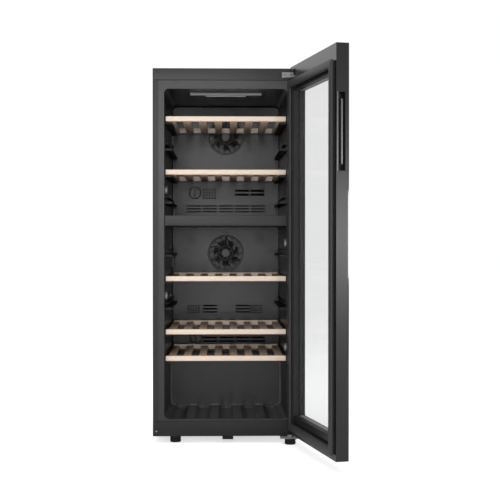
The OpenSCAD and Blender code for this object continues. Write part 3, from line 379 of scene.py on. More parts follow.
def clearGlass(name, tint, alpha):
    # Thin clear pane: mostly see-through, with a polished surface.
    material, tree, shader = newMaterial(name, 0.03)
    marked = placeGroup(tree, wear, {"Color": (*tint, 1), "Rough": 0.02, "Amount": 0.03})
    feed(tree, shader, {"Base Color": marked.outputs["Color"], "Roughness": marked.outputs["Rough"]})
    shader.inputs["Alpha"].default_value = alpha
    material.surface_render_method = "BLENDED"
    return material


# Each moulded or painted finish: colour, roughness, grain, bump, and what differs from the usual.
mouldedLooks = {
    "casingPaint": ((0.012, 0.012, 0.013), 0.36, 700, 0.10, {"specular": 0.34}),
    "trimPlastic": ((0.014, 0.014, 0.015), 0.36, 1200, 0.10, {"specular": 0.40}),
    "fasciaPlastic": ((0.009, 0.009, 0.010), 0.44, 1200, 0.10, {"specular": 0.30}),
    "linerPlastic": ((0.021, 0.021, 0.022), 0.27, 1000, 0.12, {"specular": 0.37}),
    "dividerPlastic": ((0.012, 0.012, 0.013), 0.36, 1000, 0.10, {"specular": 0.36}),
    "coverPlastic": ((0.015, 0.015, 0.017), 0.23, 1100, 0.14, {"specular": 0.33}),
    "rimPlastic": ((0.11, 0.11, 0.115), 0.35, 1000, 0.08, {}),
    # A pale grey bead colour that stands for a painted highlight along the hump's fillet.
    "edgePlastic": ((0.26, 0.26, 0.27), 0.34, 1000, 0.08, {}),
    "guardPlastic": ((0.030, 0.030, 0.032), 0.36, 1100, 0.12, {}),
    "vanePlastic": ((0.075, 0.075, 0.078), 0.36, 1100, 0.10, {}),
    "fanPlastic": ((0.008, 0.008, 0.008), 0.40, 1400, 0.08, {"specular": 0.30}),
    "blackPlastic": ((0.006, 0.006, 0.006), 0.45, 1200, 0.15, {"specular": 0.25}),
    "glossPanel": ((0.006, 0.006, 0.007), 0.08, 2000, 0.0, {"marks": 0.06, "coat": 0.6}),
    "doorPlastic": ((0.009, 0.009, 0.010), 0.27, 900, 0.08, {"waves": 0.4, "specular": 0.36}),
    "doorLinerPlastic": ((0.012, 0.012, 0.013), 0.42, 900, 0.10, {"specular": 0.20}),
    "gasketRubber": ((0.034, 0.034, 0.036), 0.50, 1500, 0.2, {"specular": 0.35}),
    "softRubber": ((0.018, 0.018, 0.018), 0.7, 1300, 0.3, {"marks": 0.06}),
    "footPlastic": ((0.006, 0.006, 0.006), 0.55, 1300, 0.2, {"specular": 0.20}),
    "lampLens": ((0.22, 0.22, 0.23), 0.3, 1500, 0.2, {"marks": 0.06}),
    "whitePlastic": ((0.62, 0.62, 0.60), 0.45, 1200, 0.15, {"marks": 0.06}),
    "stopPlastic": ((0.34, 0.34, 0.35), 0.40, 1200, 0.10, {"marks": 0.06}),
    "capSatin": ((0.30, 0.30, 0.31), 0.38, 800, 0.05, {"marks": 0.06, "metal": 0.2}),
    "screwSteel": ((0.20, 0.20, 0.21), 0.35, 800, 0.05, {"marks": 0.06, "metal": 0.7}),
    "zincSteel": ((0.48, 0.49, 0.50), 0.4, 120, 0.05, {"marks": 0.2, "metal": 0.9}),
    "bracketSteel": ((0.27, 0.27, 0.28), 0.48, 500, 0.1, {"marks": 0.04, "metal": 0.15}),
    "copper": ((0.72, 0.36, 0.22), 0.28, 600, 0.05, {"marks": 0.15, "metal": 1.0}),
    "domePaint": ((0.012, 0.012, 0.012), 0.22, 500, 0.1, {"marks": 0.06}),
    "foam": ((0.72, 0.62, 0.36), 0.85, 350, 0.8, {"marks": 0.06}),
    "boardGreen": ((0.03, 0.12, 0.06), 0.5, 900, 0.1, {"marks": 0.06}),
    # The spacer's upright bars: its pale metal painted near-black as painted shade at the door's sides.
    "spacerDark": ((0.006, 0.006, 0.007), 0.50, 700, 0.10, {"specular": 0.08}),
    "finDark": ((0.003, 0.003, 0.003), 0.75, 900, 0.1, {"marks": 0.01, "specular": 0.08}),
    "paneBorder": ((0.006, 0.006, 0.007), 0.06, 2000, 0.0, {"marks": 0.06, "coat": 0.8}),
}
finishes = {name: moulded(name, *look[:4], **look[4]) for name, look in mouldedLooks.items()}
for finish in (
        brushed("spacerPale", (0.30, 0.30, 0.31), 0.38, (1, 40, 40), 0.3),
        brushed("gripMetal", (0.18, 0.18, 0.185), 0.30, (30, 30, 1), 0.3),
        brushed("finMetal", (0.62, 0.63, 0.64), 0.35, (1, 40, 40)),
        wooden("beechAcross", (0.93, 0.79, 0.67), (0.84, 0.66, 0.52), (0.9, 14, 14)),
        wooden("beechAlong", (0.84, 0.68, 0.55), (0.70, 0.53, 0.40), (14, 0.9, 14)),
        clearGlass("paneClear", (0.35, 0.37, 0.38), 0.085)):
    finishes[finish.name] = finish

# Which CAD nodes are shown as they are, by finish.
cadLooks = {
    "linerPlastic": "inner_liner lamp_housings",
    "foam": "foam_insulation",
    "zincSteel": "base_pan compressor_tray",
    "coverPlastic": "evaporator_cover_upper evaporator_cover_lower",
    "finDark": "evaporators",
    "blackPlastic": "fan_motors shelf_guides condensate_tray condenser_fan_motor power_inlet "
                    "compressor_cover",
    "glossPanel": "control_panel",
    "guardPlastic": "temperature_sensors",
    "domePaint": "compressor",
    "softRubber": "compressor_mounts",
    "whitePlastic": "drain_tube hinge_bushes",
    "copper": "refrigerant_pipes",
    "finMetal": "condenser_coil",
    "fanPlastic": "condenser_fan_rotor",
    "boardGreen": "control_board",
    "bracketSteel": "hinge_bracket_top hinge_bracket_bottom",
    "doorPlastic": "door_rails door_stile_free door_stile_hinge",
    "dividerPlastic": "zone_divider",
}
for look, nodeNames in cadLooks.items():
    for nodeName in nodeNames.split():
        shown = frame["nodes"][nodeName].data.materials
        shown.clear()
        shown.append(finishes[look])
print("materials made")


# ---- Casing ----

casing = {"wall": 1.0 * mm, "corner": 4.0 * mm, "edge": 3.0 * mm, "return": 19.5 * mm}
shellLow, shellHigh = cadBox("outer_shell")
trimLow, trimHigh = cadBox("top_trim")
fasciaLow, fasciaHigh = cadBox("bottom_fascia")
halfWidth = shellHigh[0]


def arcPoints(centre, radius, start, stop, steps=6):
    angle = np.radians(np.linspace(start, stop, steps))
    return np.stack([centre[0] + radius * np.cos(angle), centre[1] + radius * np.sin(angle)], -1)


def casingShape():
    # An upside-down U with round corners behind the trim, and a folded front corner down each side.
    wall, corner, edge = casing["wall"], casing["corner"], casing["edge"]
    top, foot = shellHigh[2], shellLow[2]
    left, right = (-halfWidth + corner, top - corner), (halfWidth - corner, top - corner)
    outer = np.concatenate([[[-halfWidth, foot]], arcPoints(left, corner, 180, 90),
                            arcPoints(right, corner, 90, 0), [[halfWidth, foot]]])
    inner = np.concatenate([[[halfWidth - wall, foot]], arcPoints(right, corner - wall, 0, 90),
                            arcPoints(left, corner - wall, 90, 180), [[-halfWidth + wall, foot]]])
    parts = [drawnAlong(1, np.concatenate([outer, inner]), (trimHigh[1], shellHigh[1]))]
    # The side sheet turns round the front edge and runs inwards as the return.
    outer = np.concatenate([[[halfWidth, trimHigh[1]]], arcPoints((halfWidth - edge, edge), edge, 0, -90),
                            [[halfWidth - casing["return"], 0]]])
    inner = np.concatenate([[[halfWidth - casing["return"], wall]],
                            arcPoints((halfWidth - edge, edge), edge - wall, -90, 0),
                            [[halfWidth - wall, trimHigh[1]]]])
    section = np.concatenate([outer, inner])
    for side in (-1, 1):
        parts.append(drawnAlong(2, section * [side, 1], (fasciaHigh[2], trimLow[2])))
    return joined(parts)


makePiece("casing", casingShape(), "cabinet", "casingPaint", ["outer_shell"])
seam = 0.35 * mm
makePiece("topTrim", roundedBlock(trimLow + [0, 0, seam], trimHigh, 2.4 * mm), "cabinet",
          "trimPlastic", ["top_trim"])
makePiece("bottomFascia", roundedBlock(fasciaLow, fasciaHigh - [0, 0, seam], 2.4 * mm), "cabinet",
          "fasciaPlastic", ["bottom_fascia"])

opening = {"half": 208.5 * mm, "sill": 81.6 * mm, "ceiling": 1200.6 * mm, "corner": 15 * mm, "bead": 1.1 * mm}


def openingLip():
    # A round bead that follows the opening's edge.
    turn = circle(10)
    rings = []
    for u, y in zip(opening["bead"] * (0.7 + np.cos(turn)), opening["bead"] * (1.0 + np.sin(turn))):
        rings.append((-opening["half"] - u, opening["half"] + u, opening["sill"] - u, opening["ceiling"] + u,
                      opening["corner"] + u, y))
    return frameRing(rings)


makePiece("openingLip", openingLip(), "cabinet", "fasciaPlastic")
print("casing made")


# ---- Rear ----

rear = {"ribs": 6, "ribDepth": 2.2 * mm, "ribWidth": 16 * mm, "hoodReach": 1.9 * mm, "hoodRise": 7 * mm,
        "hoodHalf": 45, "hoodMiddles": (-135, 20, 135), "hoodRows": 10, "hoodPitch": 14, "firstHood": 36}


def rearPanelShape():
    # A flat sheet with upright pressed ribs: each rib's height is a smooth bump across its width.
    low, high = cadBox("rear_panel")
    x = np.linspace(low[0], high[0], 241)
    z = np.linspace(low[2], high[2], 61)
    centres = np.linspace(low[0], high[0], rear["ribs"] + 2)[1:-1]
    across = np.clip(1 - ((x[:, None] - centres[None]) / rear["ribWidth"]) ** 2, 0, 1).max(1)
    along = np.clip((z - low[2]) / 0.05, 0, 1) * np.clip((high[2] - z) / 0.05, 0, 1)
    rise = rear["ribDepth"] * across[:, None] * np.minimum(1, along * 1.6)[None]
    gx, gz = np.meshgrid(x, z, indexing="ij")
    outside = np.stack([gx, high[1] + rise, gz], -1)
    inside = np.stack([gx, np.full(gx.shape, low[1]), gz], -1)
    parts = [loft(inside, closeColumns=False), loft(outside, closeColumns=False)]
    for pick in (np.s_[0], np.s_[-1], np.s_[:, 0], np.s_[:, -1]):
        parts.append(loft(np.stack([inside[pick], outside[pick]]), closeColumns=False))
    return welded(*joined(parts))


makePiece("rearPanel", rearPanelShape(), "cabinet", "zincSteel", ["rear_panel"])


def screwShape(centre, axis, radius, height):
    # A domed head: a quarter of an ellipse turned round its axis.
    dome = np.linspace(0, math.pi / 2, 6)
    profile = np.stack([radius * np.cos(dome), height * np.sin(dome)], -1)
    profile = np.concatenate([[[radius, 0]], profile])
    return lathe(np.maximum(profile, [[1e-5, 0]]), centre, axis, 24)


# ---- Shelves ----

shelf = {"edge": 2.6 * mm, "slatEdge": 2.0 * mm, "slats": 8, "slatWidth": 26 * mm, "slatHeight": 13 * mm,
         "backBar": 22 * mm, "tenon": 4 * mm, "lap": 1 * mm, "inset": 3.5 * mm}


def shelfPieces(number):
    body = f"shelf_{number}"
    frontLow, frontHigh = cadBox(f"shelf_{number}_front")
    rackLow, rackHigh = cadBox(f"shelf_{number}_rack")
    makePiece(f"shelf{number}FrontBar", roundedBlock(frontLow, frontHigh, shelf["edge"], 4), body,
              "beechAcross", [f"shelf_{number}_front"])
    half = shelf["slatWidth"] / 2
    slats = []
    for x in np.linspace(rackLow[0] + half, rackHigh[0] - half, shelf["slats"]):
        slats.append(roundedBlock([x - half, frontHigh[1] - shelf["tenon"], rackLow[2]],
                                  [x + half, rackHigh[1] - shelf["backBar"] + shelf["lap"],
                                   rackLow[2] + shelf["slatHeight"]], shelf["slatEdge"]))
    makePiece(f"shelf{number}Slats", joined(slats), body, "beechAlong", [f"shelf_{number}_rack"])
    inset = shelf["inset"]
    back = roundedBlock([rackLow[0] + inset, rackHigh[1] - shelf["backBar"], rackLow[2]],
                        [rackHigh[0] - inset, rackHigh[1], rackHigh[2]], shelf["slatEdge"])
    makePiece(f"shelf{number}BackBar", back, body, "beechAcross")


for number in range(1, 6):
    shelfPieces(number)
print("shelves made")


# ---- Inside ----

joints = {joint["name"]: joint for joint in frame["joints"]}
guard = {"outer": 70 * mm, "rim": 7.3 * mm, "hub": 27 * mm, "hubWidth": 5 * mm, "disc": 17.5 * mm,
         "vanes": 16, "vane": 1.3 * mm, "swirls": (0.35, 0.9)}
guardLow, guardHigh = cadBox("fan_guards")
guardHalf = (guardHigh[1] - guardLow[1]) / 2


def guardMiddle(centre):
    return np.array([centre[0], (guardLow[1] + guardHigh[1]) / 2, centre[2]])


def aroundY(centre, radius, angle, y):
    # Points at a radius and an angle round an axis along y.
    spots = np.broadcast_arrays(centre[0] + radius * np.cos(angle), y, centre[2] + radius * np.sin(angle))
    return np.stack(spots, -1)


def flatRing(middle, inner, outer, front):
    # A ring of rounded section turned round y; its front stands at the given share of the guard's depth.
    turn = circle(12)
    width = np.sign(np.cos(turn)) * np.abs(np.cos(turn)) ** 0.5
    depth = np.sign(np.sin(turn)) * np.abs(np.sin(turn)) ** 0.7
    radius = (inner + outer) / 2 + (outer - inner) / 2 * width
    angle = circle(72)[:, None]
    return loft(aroundY(middle, radius, angle, middle[1] + guardHalf * front * depth), closeRows=True)


def guardVanes(centre, swirl):
    # The fluted disc in the middle and the vanes, which may curve as they run out to the rim.
    middle = guardMiddle(centre)
    parts = [lathe([(guard["disc"], guardHalf * 0.9), (guard["disc"], -guardHalf * 0.4),
                    (guard["disc"] - 2 * mm, -guardHalf * 0.9), (guard["disc"] * 0.5, -guardHalf * 0.5),
                    (1e-5, -guardHalf * 0.8)], middle, (0, 1, 0), 96, 12, 0.06)]
    for k in range(guard["vanes"]):
        radius = np.linspace(guard["disc"] - 2 * mm, guard["outer"] - guard["rim"] * 0.6, 12)
        angle = k * tau / guard["vanes"] + swirl * (radius - radius[0]) / (radius[-1] - radius[0])
        parts.append(sweepTube(aroundY(middle, radius, angle, middle[1]), guard["vane"], 8))
    return joined(parts)


fanCentres = [np.array(joints[f"{level}_fan_spin"]["pos_m"]) for level in ("upper", "lower")]
rims, edges, hubs = [], [], []
for centre in fanCentres:
    middle = guardMiddle(centre)
    rims.append(flatRing(middle, guard["outer"] - guard["rim"], guard["outer"] - 1.2 * mm, 0.9))
    edges.append(flatRing(middle, guard["outer"] - 1.8 * mm, guard["outer"], 1.0))
    hubs.append(flatRing(middle, guard["hub"] - guard["hubWidth"], guard["hub"] + guard["hubWidth"], 0.8))
makePiece("fanGuardRims", joined(rims), "cabinet", "guardPlastic", ["fan_guards"])
makePiece("fanGuardEdges", joined(edges), "cabinet", "rimPlastic")
makePiece("fanGuardHubs", joined(hubs), "cabinet", "blackPlastic")
makePiece("fanGuardVanes", joined([guardVanes(*each) for each in zip(fanCentres, guard["swirls"])]),
          "cabinet", "vanePlastic")


def rotorShape(node, blades, hub):
    # Swept blades: each section is a thin ellipse, turned more steeply near the hub.
    low, high = cadBox(node)
    centre = (low + high) / 2
    reach = min(high[0] - low[0], high[2] - low[2]) / 2
    half = (high[1] - low[1]) / 2
    turn = circle(12)
    parts = [lathe([(hub, half), (hub, -half * 0.6), (hub * 0.8, -half * 0.95), (1e-5, -half)],
                   centre, (0, 1, 0), 40)]
    for k in range(blades):
        radius = np.linspace(hub * 0.9, reach, 9)[:, None]
        chord = (0.42 + 0.25 * (radius - hub) / (reach - hub)) * 0.5
        pitch = 0.85 * half
        angle = k * tau / blades + chord * np.cos(turn)[None] + 0.35 * (radius - hub) / reach
        y = centre[1] + pitch * np.cos(turn)[None] + 0.7 * mm * np.sin(turn)[None]
        parts.append(loft(aroundY(centre, radius, angle, y)))
    return joined(parts)


for level in ("upper", "lower"):
    makePiece(f"{level}FanRotor", rotorShape(f"fan_rotor_{level}", 7, 16 * mm), f"{level}_fan",
              "fanPlastic", [f"fan_rotor_{level}"])


def filterShape(node):
    # A round cap with a rounded rim, a ring of vent ribs and a grip bar across it.
    low, high = cadBox(node)
    centre = np.array([(low[0] + high[0]) / 2, low[1] + 10 * mm, (low[2] + high[2]) / 2])
    radius = (high[0] - low[0]) / 2 - 1.4 * mm
    rim = [(radius * 0.86, 6 * mm), (radius, 0), (radius, -2.2 * mm), (radius * 0.94, -3.6 * mm),
           (radius * 0.8, -3.6 * mm), (radius * 0.76, -2.4 * mm), (1e-5, -2.4 * mm)]
    parts = [lathe(rim, centre, (0, 1, 0), 48)]
    grip = roundedBlock([centre[0] - 3 * mm, low[1], centre[2] - radius * 0.82],
                        [centre[0] + 3 * mm, centre[1] - 2 * mm, centre[2] + radius * 0.82], 1.6 * mm)
    parts.append(grip)
    for angle in circle(12) + 0.13:
        inner, outer = radius * 0.35, radius * 0.72
        ends = np.array([[inner * math.cos(angle), -2.6 * mm, inner * math.sin(angle)],
                         [outer * math.cos(angle), -2.6 * mm, outer * math.sin(angle)]])
        parts.append(sweepTube(centre + ends, 0.8 * mm, 6))
    return joined(parts)


for level in ("upper", "lower"):
    makePiece(f"{level}Filter", filterShape(f"carbon_filter_{level}"), f"{level}_filter",
              "coverPlastic", [f"carbon_filter_{level}"])


def lensShape(low, high, facing):
    # A bar of rounded section whose shining side is fluted: it waves along the bar's length.
    x = np.linspace(low[0], high[0], 361)
    wave = 0.35 * mm * (0.5 - 0.5 * np.cos((x - low[0]) / (4 * mm) * tau))
    turn = circle(16)
    across = np.stack([np.sign(np.cos(turn)) * np.abs(np.cos(turn)) ** 0.4,
                       np.sign(np.sin(turn)) * np.abs(np.sin(turn)) ** 0.4], -1)
    middle, half = (low[1:] + high[1:]) / 2, (high[1:] - low[1:]) / 2
    section = np.broadcast_to(middle + half * across, (361, 16, 2)).copy()
    section[..., facing] += wave[:, None] * (across[None, :, facing] < -0.2)
    return loft(np.concatenate([np.broadcast_to(x[:, None, None], (361, 16, 1)), section], -1))


lensLow, lensHigh = cadBox("lamp_lenses")
upperLens = lensShape(np.array([lensLow[0], lensLow[1], lensHigh[2] - 9.6 * mm]),
                      np.array([lensHigh[0], lensLow[1] + 7 * mm, lensHigh[2]]), 0)
lowerLens = lensShape(np.array([lensLow[0], lensLow[1] + 1.8 * mm, lensLow[2]]),
                      np.array([lensHigh[0], lensHigh[1], lensLow[2] + 5.7 * mm]), 1)
makePiece("lampLenses", joined([upperLens, lowerLens]), "cabinet", "lampLens", ["lamp_lenses"])

dividerLow, dividerHigh = cadBox("zone_divider")


def dividerNose():
    # The divider's rounded front edge and the small lip under it.
    inset = np.array([0.1 * mm, 0, 0.1 * mm])
    front = [dividerLow[0], dividerLow[1] + 0.3 * mm, dividerLow[2]]
    back = np.array([dividerHigh[0], dividerLow[1] + 6 * mm, dividerHigh[2]])
    nose = roundedBlock(front + inset, back - inset, 1.7 * mm, 4)
    lip = roundedBlock([dividerLow[0] + 4 * mm, dividerLow[1], dividerLow[2] - 0.6 * mm],
                       [dividerHigh[0] - 4 * mm, dividerLow[1] + 5 * mm, dividerLow[2] + 4.2 * mm], 1.6 * mm)
    return joined([nose, lip])


makePiece("dividerNose", dividerNose(), "cabinet", "dividerPlastic")


cap = {"wall": 207.4 * mm, "front": 62 * mm, "plugHeight": 40 * mm}


def capsShape():
    # Round caps with a rolled edge and a shallow dish, and the small plug in the fascia.
    profile = [(13.4, 0), (13.5, 3.4), (12.6, 5.6), (10.8, 6.7), (8.2, 6.9), (6.2, 6.1), (1e-5, 5.9)]
    low = cadBox("blanking_caps")[0]
    parts = []
    for side, z in capPlaces:
        parts.append(lathe(np.array(profile) * mm, (side * cap["wall"], cap["front"], z), (-side, 0, 0), 48))
    plug = np.array([(3, 1.2), (2.6, 0.3), (1.4, 0), (1e-5, 0)]) * mm
    parts.append(lathe(plug, (low[0] + 3 * mm, -1.0 * mm, cap["plugHeight"]), (0, 1, 0), 24))
    return joined(parts)


levelPitch = 90.6 * mm
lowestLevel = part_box("shelf_5_front")[1].z
levels = [lowestLevel + levelPitch * k for k in (0, 1, 2, 3, 4, 6, 7, 8, 9)]
capPlaces = [(-1, levels[5] + 22.5 * mm), (-1, levels[2] + 22.4 * mm), (1, levels[4] + 22.3 * mm),
             (1, levels[0] + 25.1 * mm)]
makePiece("blankingCaps", capsShape(), "cabinet", "capSatin", ["blanking_caps"])


boss = {"wall": 207.9 * mm, "front": 23 * mm, "below": 33.5 * mm, "radius": 3.6 * mm, "height": 2.4 * mm}


def bossShape():
    # Small domes on the side walls, one at the front of each guide level.
    return joined([screwShape((side * boss["wall"], boss["front"], z - boss["below"]), (-side, 0, 0),
                              boss["radius"], boss["height"]) for z in levels for side in (-1, 1)])


makePiece("guideBosses", bossShape(), "cabinet", "blackPlastic")

stop = {"wall": 208.5 * mm, "lean": 0.0130, "back": 320 * mm, "above": 10 * mm, "radius": 4.2 * mm,
        "height": 3 * mm, "levels": (7, 5, 4, 2)}
coverScrew = {"radius": 3.2 * mm, "height": 1.6 * mm,
              "places": [(-151, 650), (160, 650), (-185, 1140), (185, 1140), (-185, 790), (185, 790)]}


def stopsShape():
    # Small round stops on the side walls, behind the middle of some guides; the walls lean inwards.
    x = stop["wall"] - stop["lean"] * stop["back"]
    heights = [levels[number] + stop["above"] for number in stop["levels"]]
    return joined([screwShape((side * x, stop["back"], z), (-side, 0, 0), stop["radius"], stop["height"])
                   for z in heights for side in (-1, 1)])


def coverScrewShape():
    radius, height = coverScrew["radius"], coverScrew["height"]
    return joined([screwShape((x * mm, guardHigh[1], z * mm), (0, -1, 0), radius, height)
                   for x, z in coverScrew["places"]])


makePiece("shelfStops", stopsShape(), "cabinet", "stopPlastic")
makePiece("coverScrews", coverScrewShape(), "cabinet", "screwSteel")

hump = {"face": 329.6 * mm, "half": 200 * mm, "top": 262 * mm, "low": 82.4 * mm, "corner": 14 * mm,
        "pitch": 80 * mm, "groove": 51 * mm, "dip": 12 * mm, "wire": 1.2 * mm}


def humpHighlightBead():
    # A fine raised line round the hump's face, pale as a painted highlight along its fillet: up both sides,
    # round the corners and along a scalloped bottom.
    half, low, corner = hump["half"], hump["low"], hump["corner"]
    down = np.stack([np.full(12, -half), np.linspace(hump["top"], low + corner, 12)], -1)
    turn = arcPoints((-half + corner, low + corner), corner, 180, 270, 8)
    x = np.linspace(-half + corner + 2 * mm, half - corner - 2 * mm, 121)
    # Each dip is an arc: its radius is (half width squared + depth squared) over twice the depth.
    reach, dip = hump["groove"] / 2, hump["dip"]
    radius = (reach ** 2 + dip ** 2) / (2 * dip)
    across = (x + hump["pitch"] / 2) % hump["pitch"] - hump["pitch"] / 2
    wave = low - np.maximum(np.sqrt(np.maximum(radius ** 2 - across ** 2, 0)) - (radius - dip), 0)
    left = np.concatenate([down, turn, np.stack([x, wave], -1)])
    right = (left[:20] * [-1, 1])[::-1]
    path = np.concatenate([left, right])
    return sweepTube(np.insert(path, 1, hump["face"], axis=1), hump["wire"], 8)


# The bead is pale grey as a painted highlight where the hump's face meets the walls and floor.
makePiece("humpHighlightBead", humpHighlightBead(), "cabinet", "edgePlastic")
print("inside made")


# ---- Door ----

hinge = joints["door_hinge"]
hingePlace = np.array(hinge["pos_m"])
openAngle = -math.radians(hinge["range_deg"][0])


def swung(points, angle):
    # Turns points about the hinge's upright axis.
    c, s = math.cos(angle), math.sin(angle)
    shifted = np.asarray(points, float) - hingePlace
    turned = shifted @ np.array([[c, s, 0], [-s, c, 0], [0, 0, 1]])
    return turned + hingePlace


def closedBox(nodeName):
    # A door node's box as it would be with the door shut.
    mesh = frame["nodes"][nodeName].data
    flat = np.zeros(len(mesh.vertices) * 3, np.float32)
    mesh.vertices.foreach_get("co", flat)
    points = swung(flat.reshape(-1, 3), -openAngle)
    return points.min(0), points.max(0)


def doorPiece(name, shape, looks, stands=(), sharp=35):
    # A piece drawn with the door shut, then swung open.
    points, faces = shape
    return makePiece(name, (swung(points, openAngle), faces), "door", looks, stands, sharp)


paneLow, paneHigh = closedBox("outer_glass")
spacerLow, spacerHigh = closedBox("glass_spacer")
gasketLow, gasketHigh = closedBox("door_gasket")
innerFace = gasketLow[1]
door = {"spacer": 11 * mm, "liner": 5 * mm, "linerRise": 1.2 * mm, "linerEdge": 1.1 * mm,
        "gasketCorner": 5 * mm}
window = (spacerLow[0] + door["spacer"], spacerHigh[0] - door["spacer"],
          spacerLow[2] + door["spacer"], spacerHigh[2] - door["spacer"])


def spacerBars(upright):
    # Two bars of the frame between the panes: the upright ones, or the level ones between them.
    width, gap = door["spacer"], 0.05 * mm
    bars = []
    for end in (0, 1):
        low, high = spacerLow + gap, spacerHigh - gap
        axis = 0 if upright else 2
        if end:
            low[axis] = high[axis] - width
        else:
            high[axis] = low[axis] + width
        if not upright:
            low[0], high[0] = low[0] + width + gap, high[0] - width - gap
        bars.append(roundedBlock(low, high, 0.6 * mm, 2))
    return joined(bars)


# The upright bars are near-black as painted shade; the level bars keep the spacer's pale metal.
doorPiece("spacerUprights", spacerBars(True), "spacerDark", ["glass_spacer"])
doorPiece("spacerLevels", spacerBars(False), "spacerPale")


def windowRing(profile, corner):
    # A frame round the window: each profile point is a distance out from the window's edge and a y.
    left, right, low, high = window
    return frameRing([(left - u, right + u, low - u, high + u, corner + u, y) for u, y in profile])


def doorLinerShape():
    top, edge = innerFace + door["linerRise"], door["linerEdge"]
    turn = np.radians(np.linspace(180, 90, 6))
    inner = [(edge + edge * math.cos(a), top - edge + edge * math.sin(a)) for a in turn]
    outer = [(door["liner"] - edge + edge * math.cos(a), top - edge + edge * math.sin(a))
             for a in np.radians(np.linspace(90, 0, 6))]
    glassIn = spacerHigh[1] + 4.1 * mm
    profile = [(-0.4 * mm, glassIn)] + [(u - 0.4 * mm, y) for u, y in inner] + outer
    profile += [(door["liner"], innerFace - 1 * mm), (1 * mm, innerFace - 1 * mm), (1 * mm, glassIn)]
    return windowRing(profile, 1.5 * mm)


doorPiece("doorLiner", doorLinerShape(), "doorLinerPlastic")


def gasketShape():
    # A foot in the door, folded bellows and a rounded magnet tube, drawn round the door's border.
    reach = gasketHigh[1] - innerFace
    profile = [(3.0, 0.02), (1.6, 0.10), (4.6, 0.20), (5.4, 0.26), (3.2, 0.34), (1.2, 0.42), (0.2, 0.56),
               (0.0, 0.78), (0.8, 0.92), (2.6, 1.0), (21.5, 1.0), (24.6, 0.96), (26.0, 0.82), (25.6, 0.60),
               (24.0, 0.46), (21.0, 0.42), (18.4, 0.34), (20.2, 0.24), (22.4, 0.14), (22.4, 0.02)]
    (left, _, low), (right, _, high) = gasketLow, gasketHigh
    return frameRing([(left + u * mm, right - u * mm, low + u * mm, high - u * mm, door["gasketCorner"],
                       innerFace + reach * share) for u, share in profile])


doorPiece("doorGasket", gasketShape(), "gasketRubber", ["door_gasket"], sharp=50)


def paneShape(low, high, border):
    # A pane with ground edges, cut into a border and a clear middle, and which of its faces are clear.
    left, right, bottom, top = border
    xs = np.array([low[0], low[0] + 0.8 * mm, left, right, high[0] - 0.8 * mm, high[0]])
    zs = np.array([low[2], low[2] + 0.8 * mm, bottom, top, high[2] - 0.8 * mm, high[2]])
    parts, rimLoops = [], []
    clear = [i == 2 and j == 2 for i in range(5) for j in range(5)] * 2
    for y, edge in ((low[1], 1), (high[1], -1)):
        gx, gz = np.meshgrid(xs, zs, indexing="ij")
        depth = np.full(gx.shape, y)
        depth[[0, -1], :] += edge * 0.6 * mm
        depth[:, [0, -1]] = y + edge * 0.6 * mm
        parts.append(loft(np.stack([gx, depth, gz], -1), closeColumns=False))
    for y in (low[1] + 0.6 * mm, high[1] - 0.6 * mm):
        bottomEdge = [(x, y, zs[0]) for x in xs]
        rightEdge = [(xs[-1], y, z) for z in zs[1:]]
        topEdge = [(x, y, zs[-1]) for x in xs[::-1][1:]]
        leftEdge = [(xs[0], y, z) for z in zs[::-1][1:-1]]
        rimLoops.append(bottomEdge + rightEdge + topEdge + leftEdge)
    parts.append(loft(np.array(rimLoops), caps=False))
    points, faces = joined(parts)
    clear += [False] * (len(faces) - len(clear))
    kept, rings = welded(points, faces)
    return (kept, rings), clear


outerShape, outerClear = paneShape(paneLow, paneHigh, window)
outerPane = doorPiece("outerPane", outerShape, ["paneBorder", "paneClear"], ["outer_glass"])
outerPane.data.polygons.foreach_set("material_index", np.array(outerClear, np.int32))
innerLow, innerHigh = closedBox("inner_glass")
doorPiece("innerPane", paneShape(innerLow, innerHigh, window)[0], "paneClear", ["inner_glass"])

gripLow, gripHigh = closedBox("handle_grip")
grip = {"wall": 1.5 * mm, "corner": 4 * mm, "bar": 5.4 * mm, "barLength": 194 * mm, "barStand": 15.5 * mm,
        "barPlace": 8.3 * mm}


def gripCupShape():
    # A long cup lining the groove, drawn as loops from its inner floor up to its rim and down outside.
    left, bottom = gripLow[0] - 0.3 * mm, gripHigh[0]
    wall = grip["wall"]
    loops = [(bottom - wall, wall), (left, wall), (left, 0.0), (bottom, 0.0)]
    rings = []
    for x, inset in loops:
        low, high = gripLow[2] + inset, gripHigh[2] - inset
        y0, y1 = gripLow[1] + inset, gripHigh[1] - inset
        loop = roundedLoop(y0, y1, low, high, grip["corner"] - inset * 0.6, 7)
        rings.append(np.insert(loop, 0, x, axis=1))
    return loft(np.array(rings))


doorPiece("gripCup", gripCupShape(), "blackPlastic", ["handle_grip"])
barPlace = gripLow[1] + grip["barPlace"]
barEnds = (gripLow[2] + gripHigh[2]) / 2 + np.array([-0.5, 0.5]) * grip["barLength"]
gripBottom = gripHigh[0] - grip["wall"]
gripBar = roundedBlock([gripBottom - grip["barStand"], barPlace - grip["bar"] / 2, barEnds[0]],
                       [gripBottom + 0.2 * mm, barPlace + grip["bar"] / 2, barEnds[1]], 1.6 * mm, 4)
gripLine = roundedBlock([gripLow[0] - 0.3 * mm, gripHigh[1], gripLow[2]],
                        [gripLow[0] + 1.2 * mm, gripHigh[1] + 3.2 * mm, gripHigh[2]], 0.6 * mm, 3)
doorPiece("gripBar", gripBar, "gripMetal")
doorPiece("gripEdge", gripLine, "gripMetal")
print("door made")


# ---- Hinges, screws and feet ----

hingeScrew = {"upperPlaces": (9, 30), "upperFace": -6 * mm, "upperRadius": 3.6 * mm,
              "lowerPlaces": (192, 216), "lowerBack": 36 * mm, "lowerFace": 18.8 * mm, "lowerRadius": 4 * mm}
foot = {"flutes": 24, "fluteDepth": 0.05, "stud": 5 * mm, "thread": 0.45 * mm, "pitch": 0.75 * mm,
        "neck": 12 * mm}


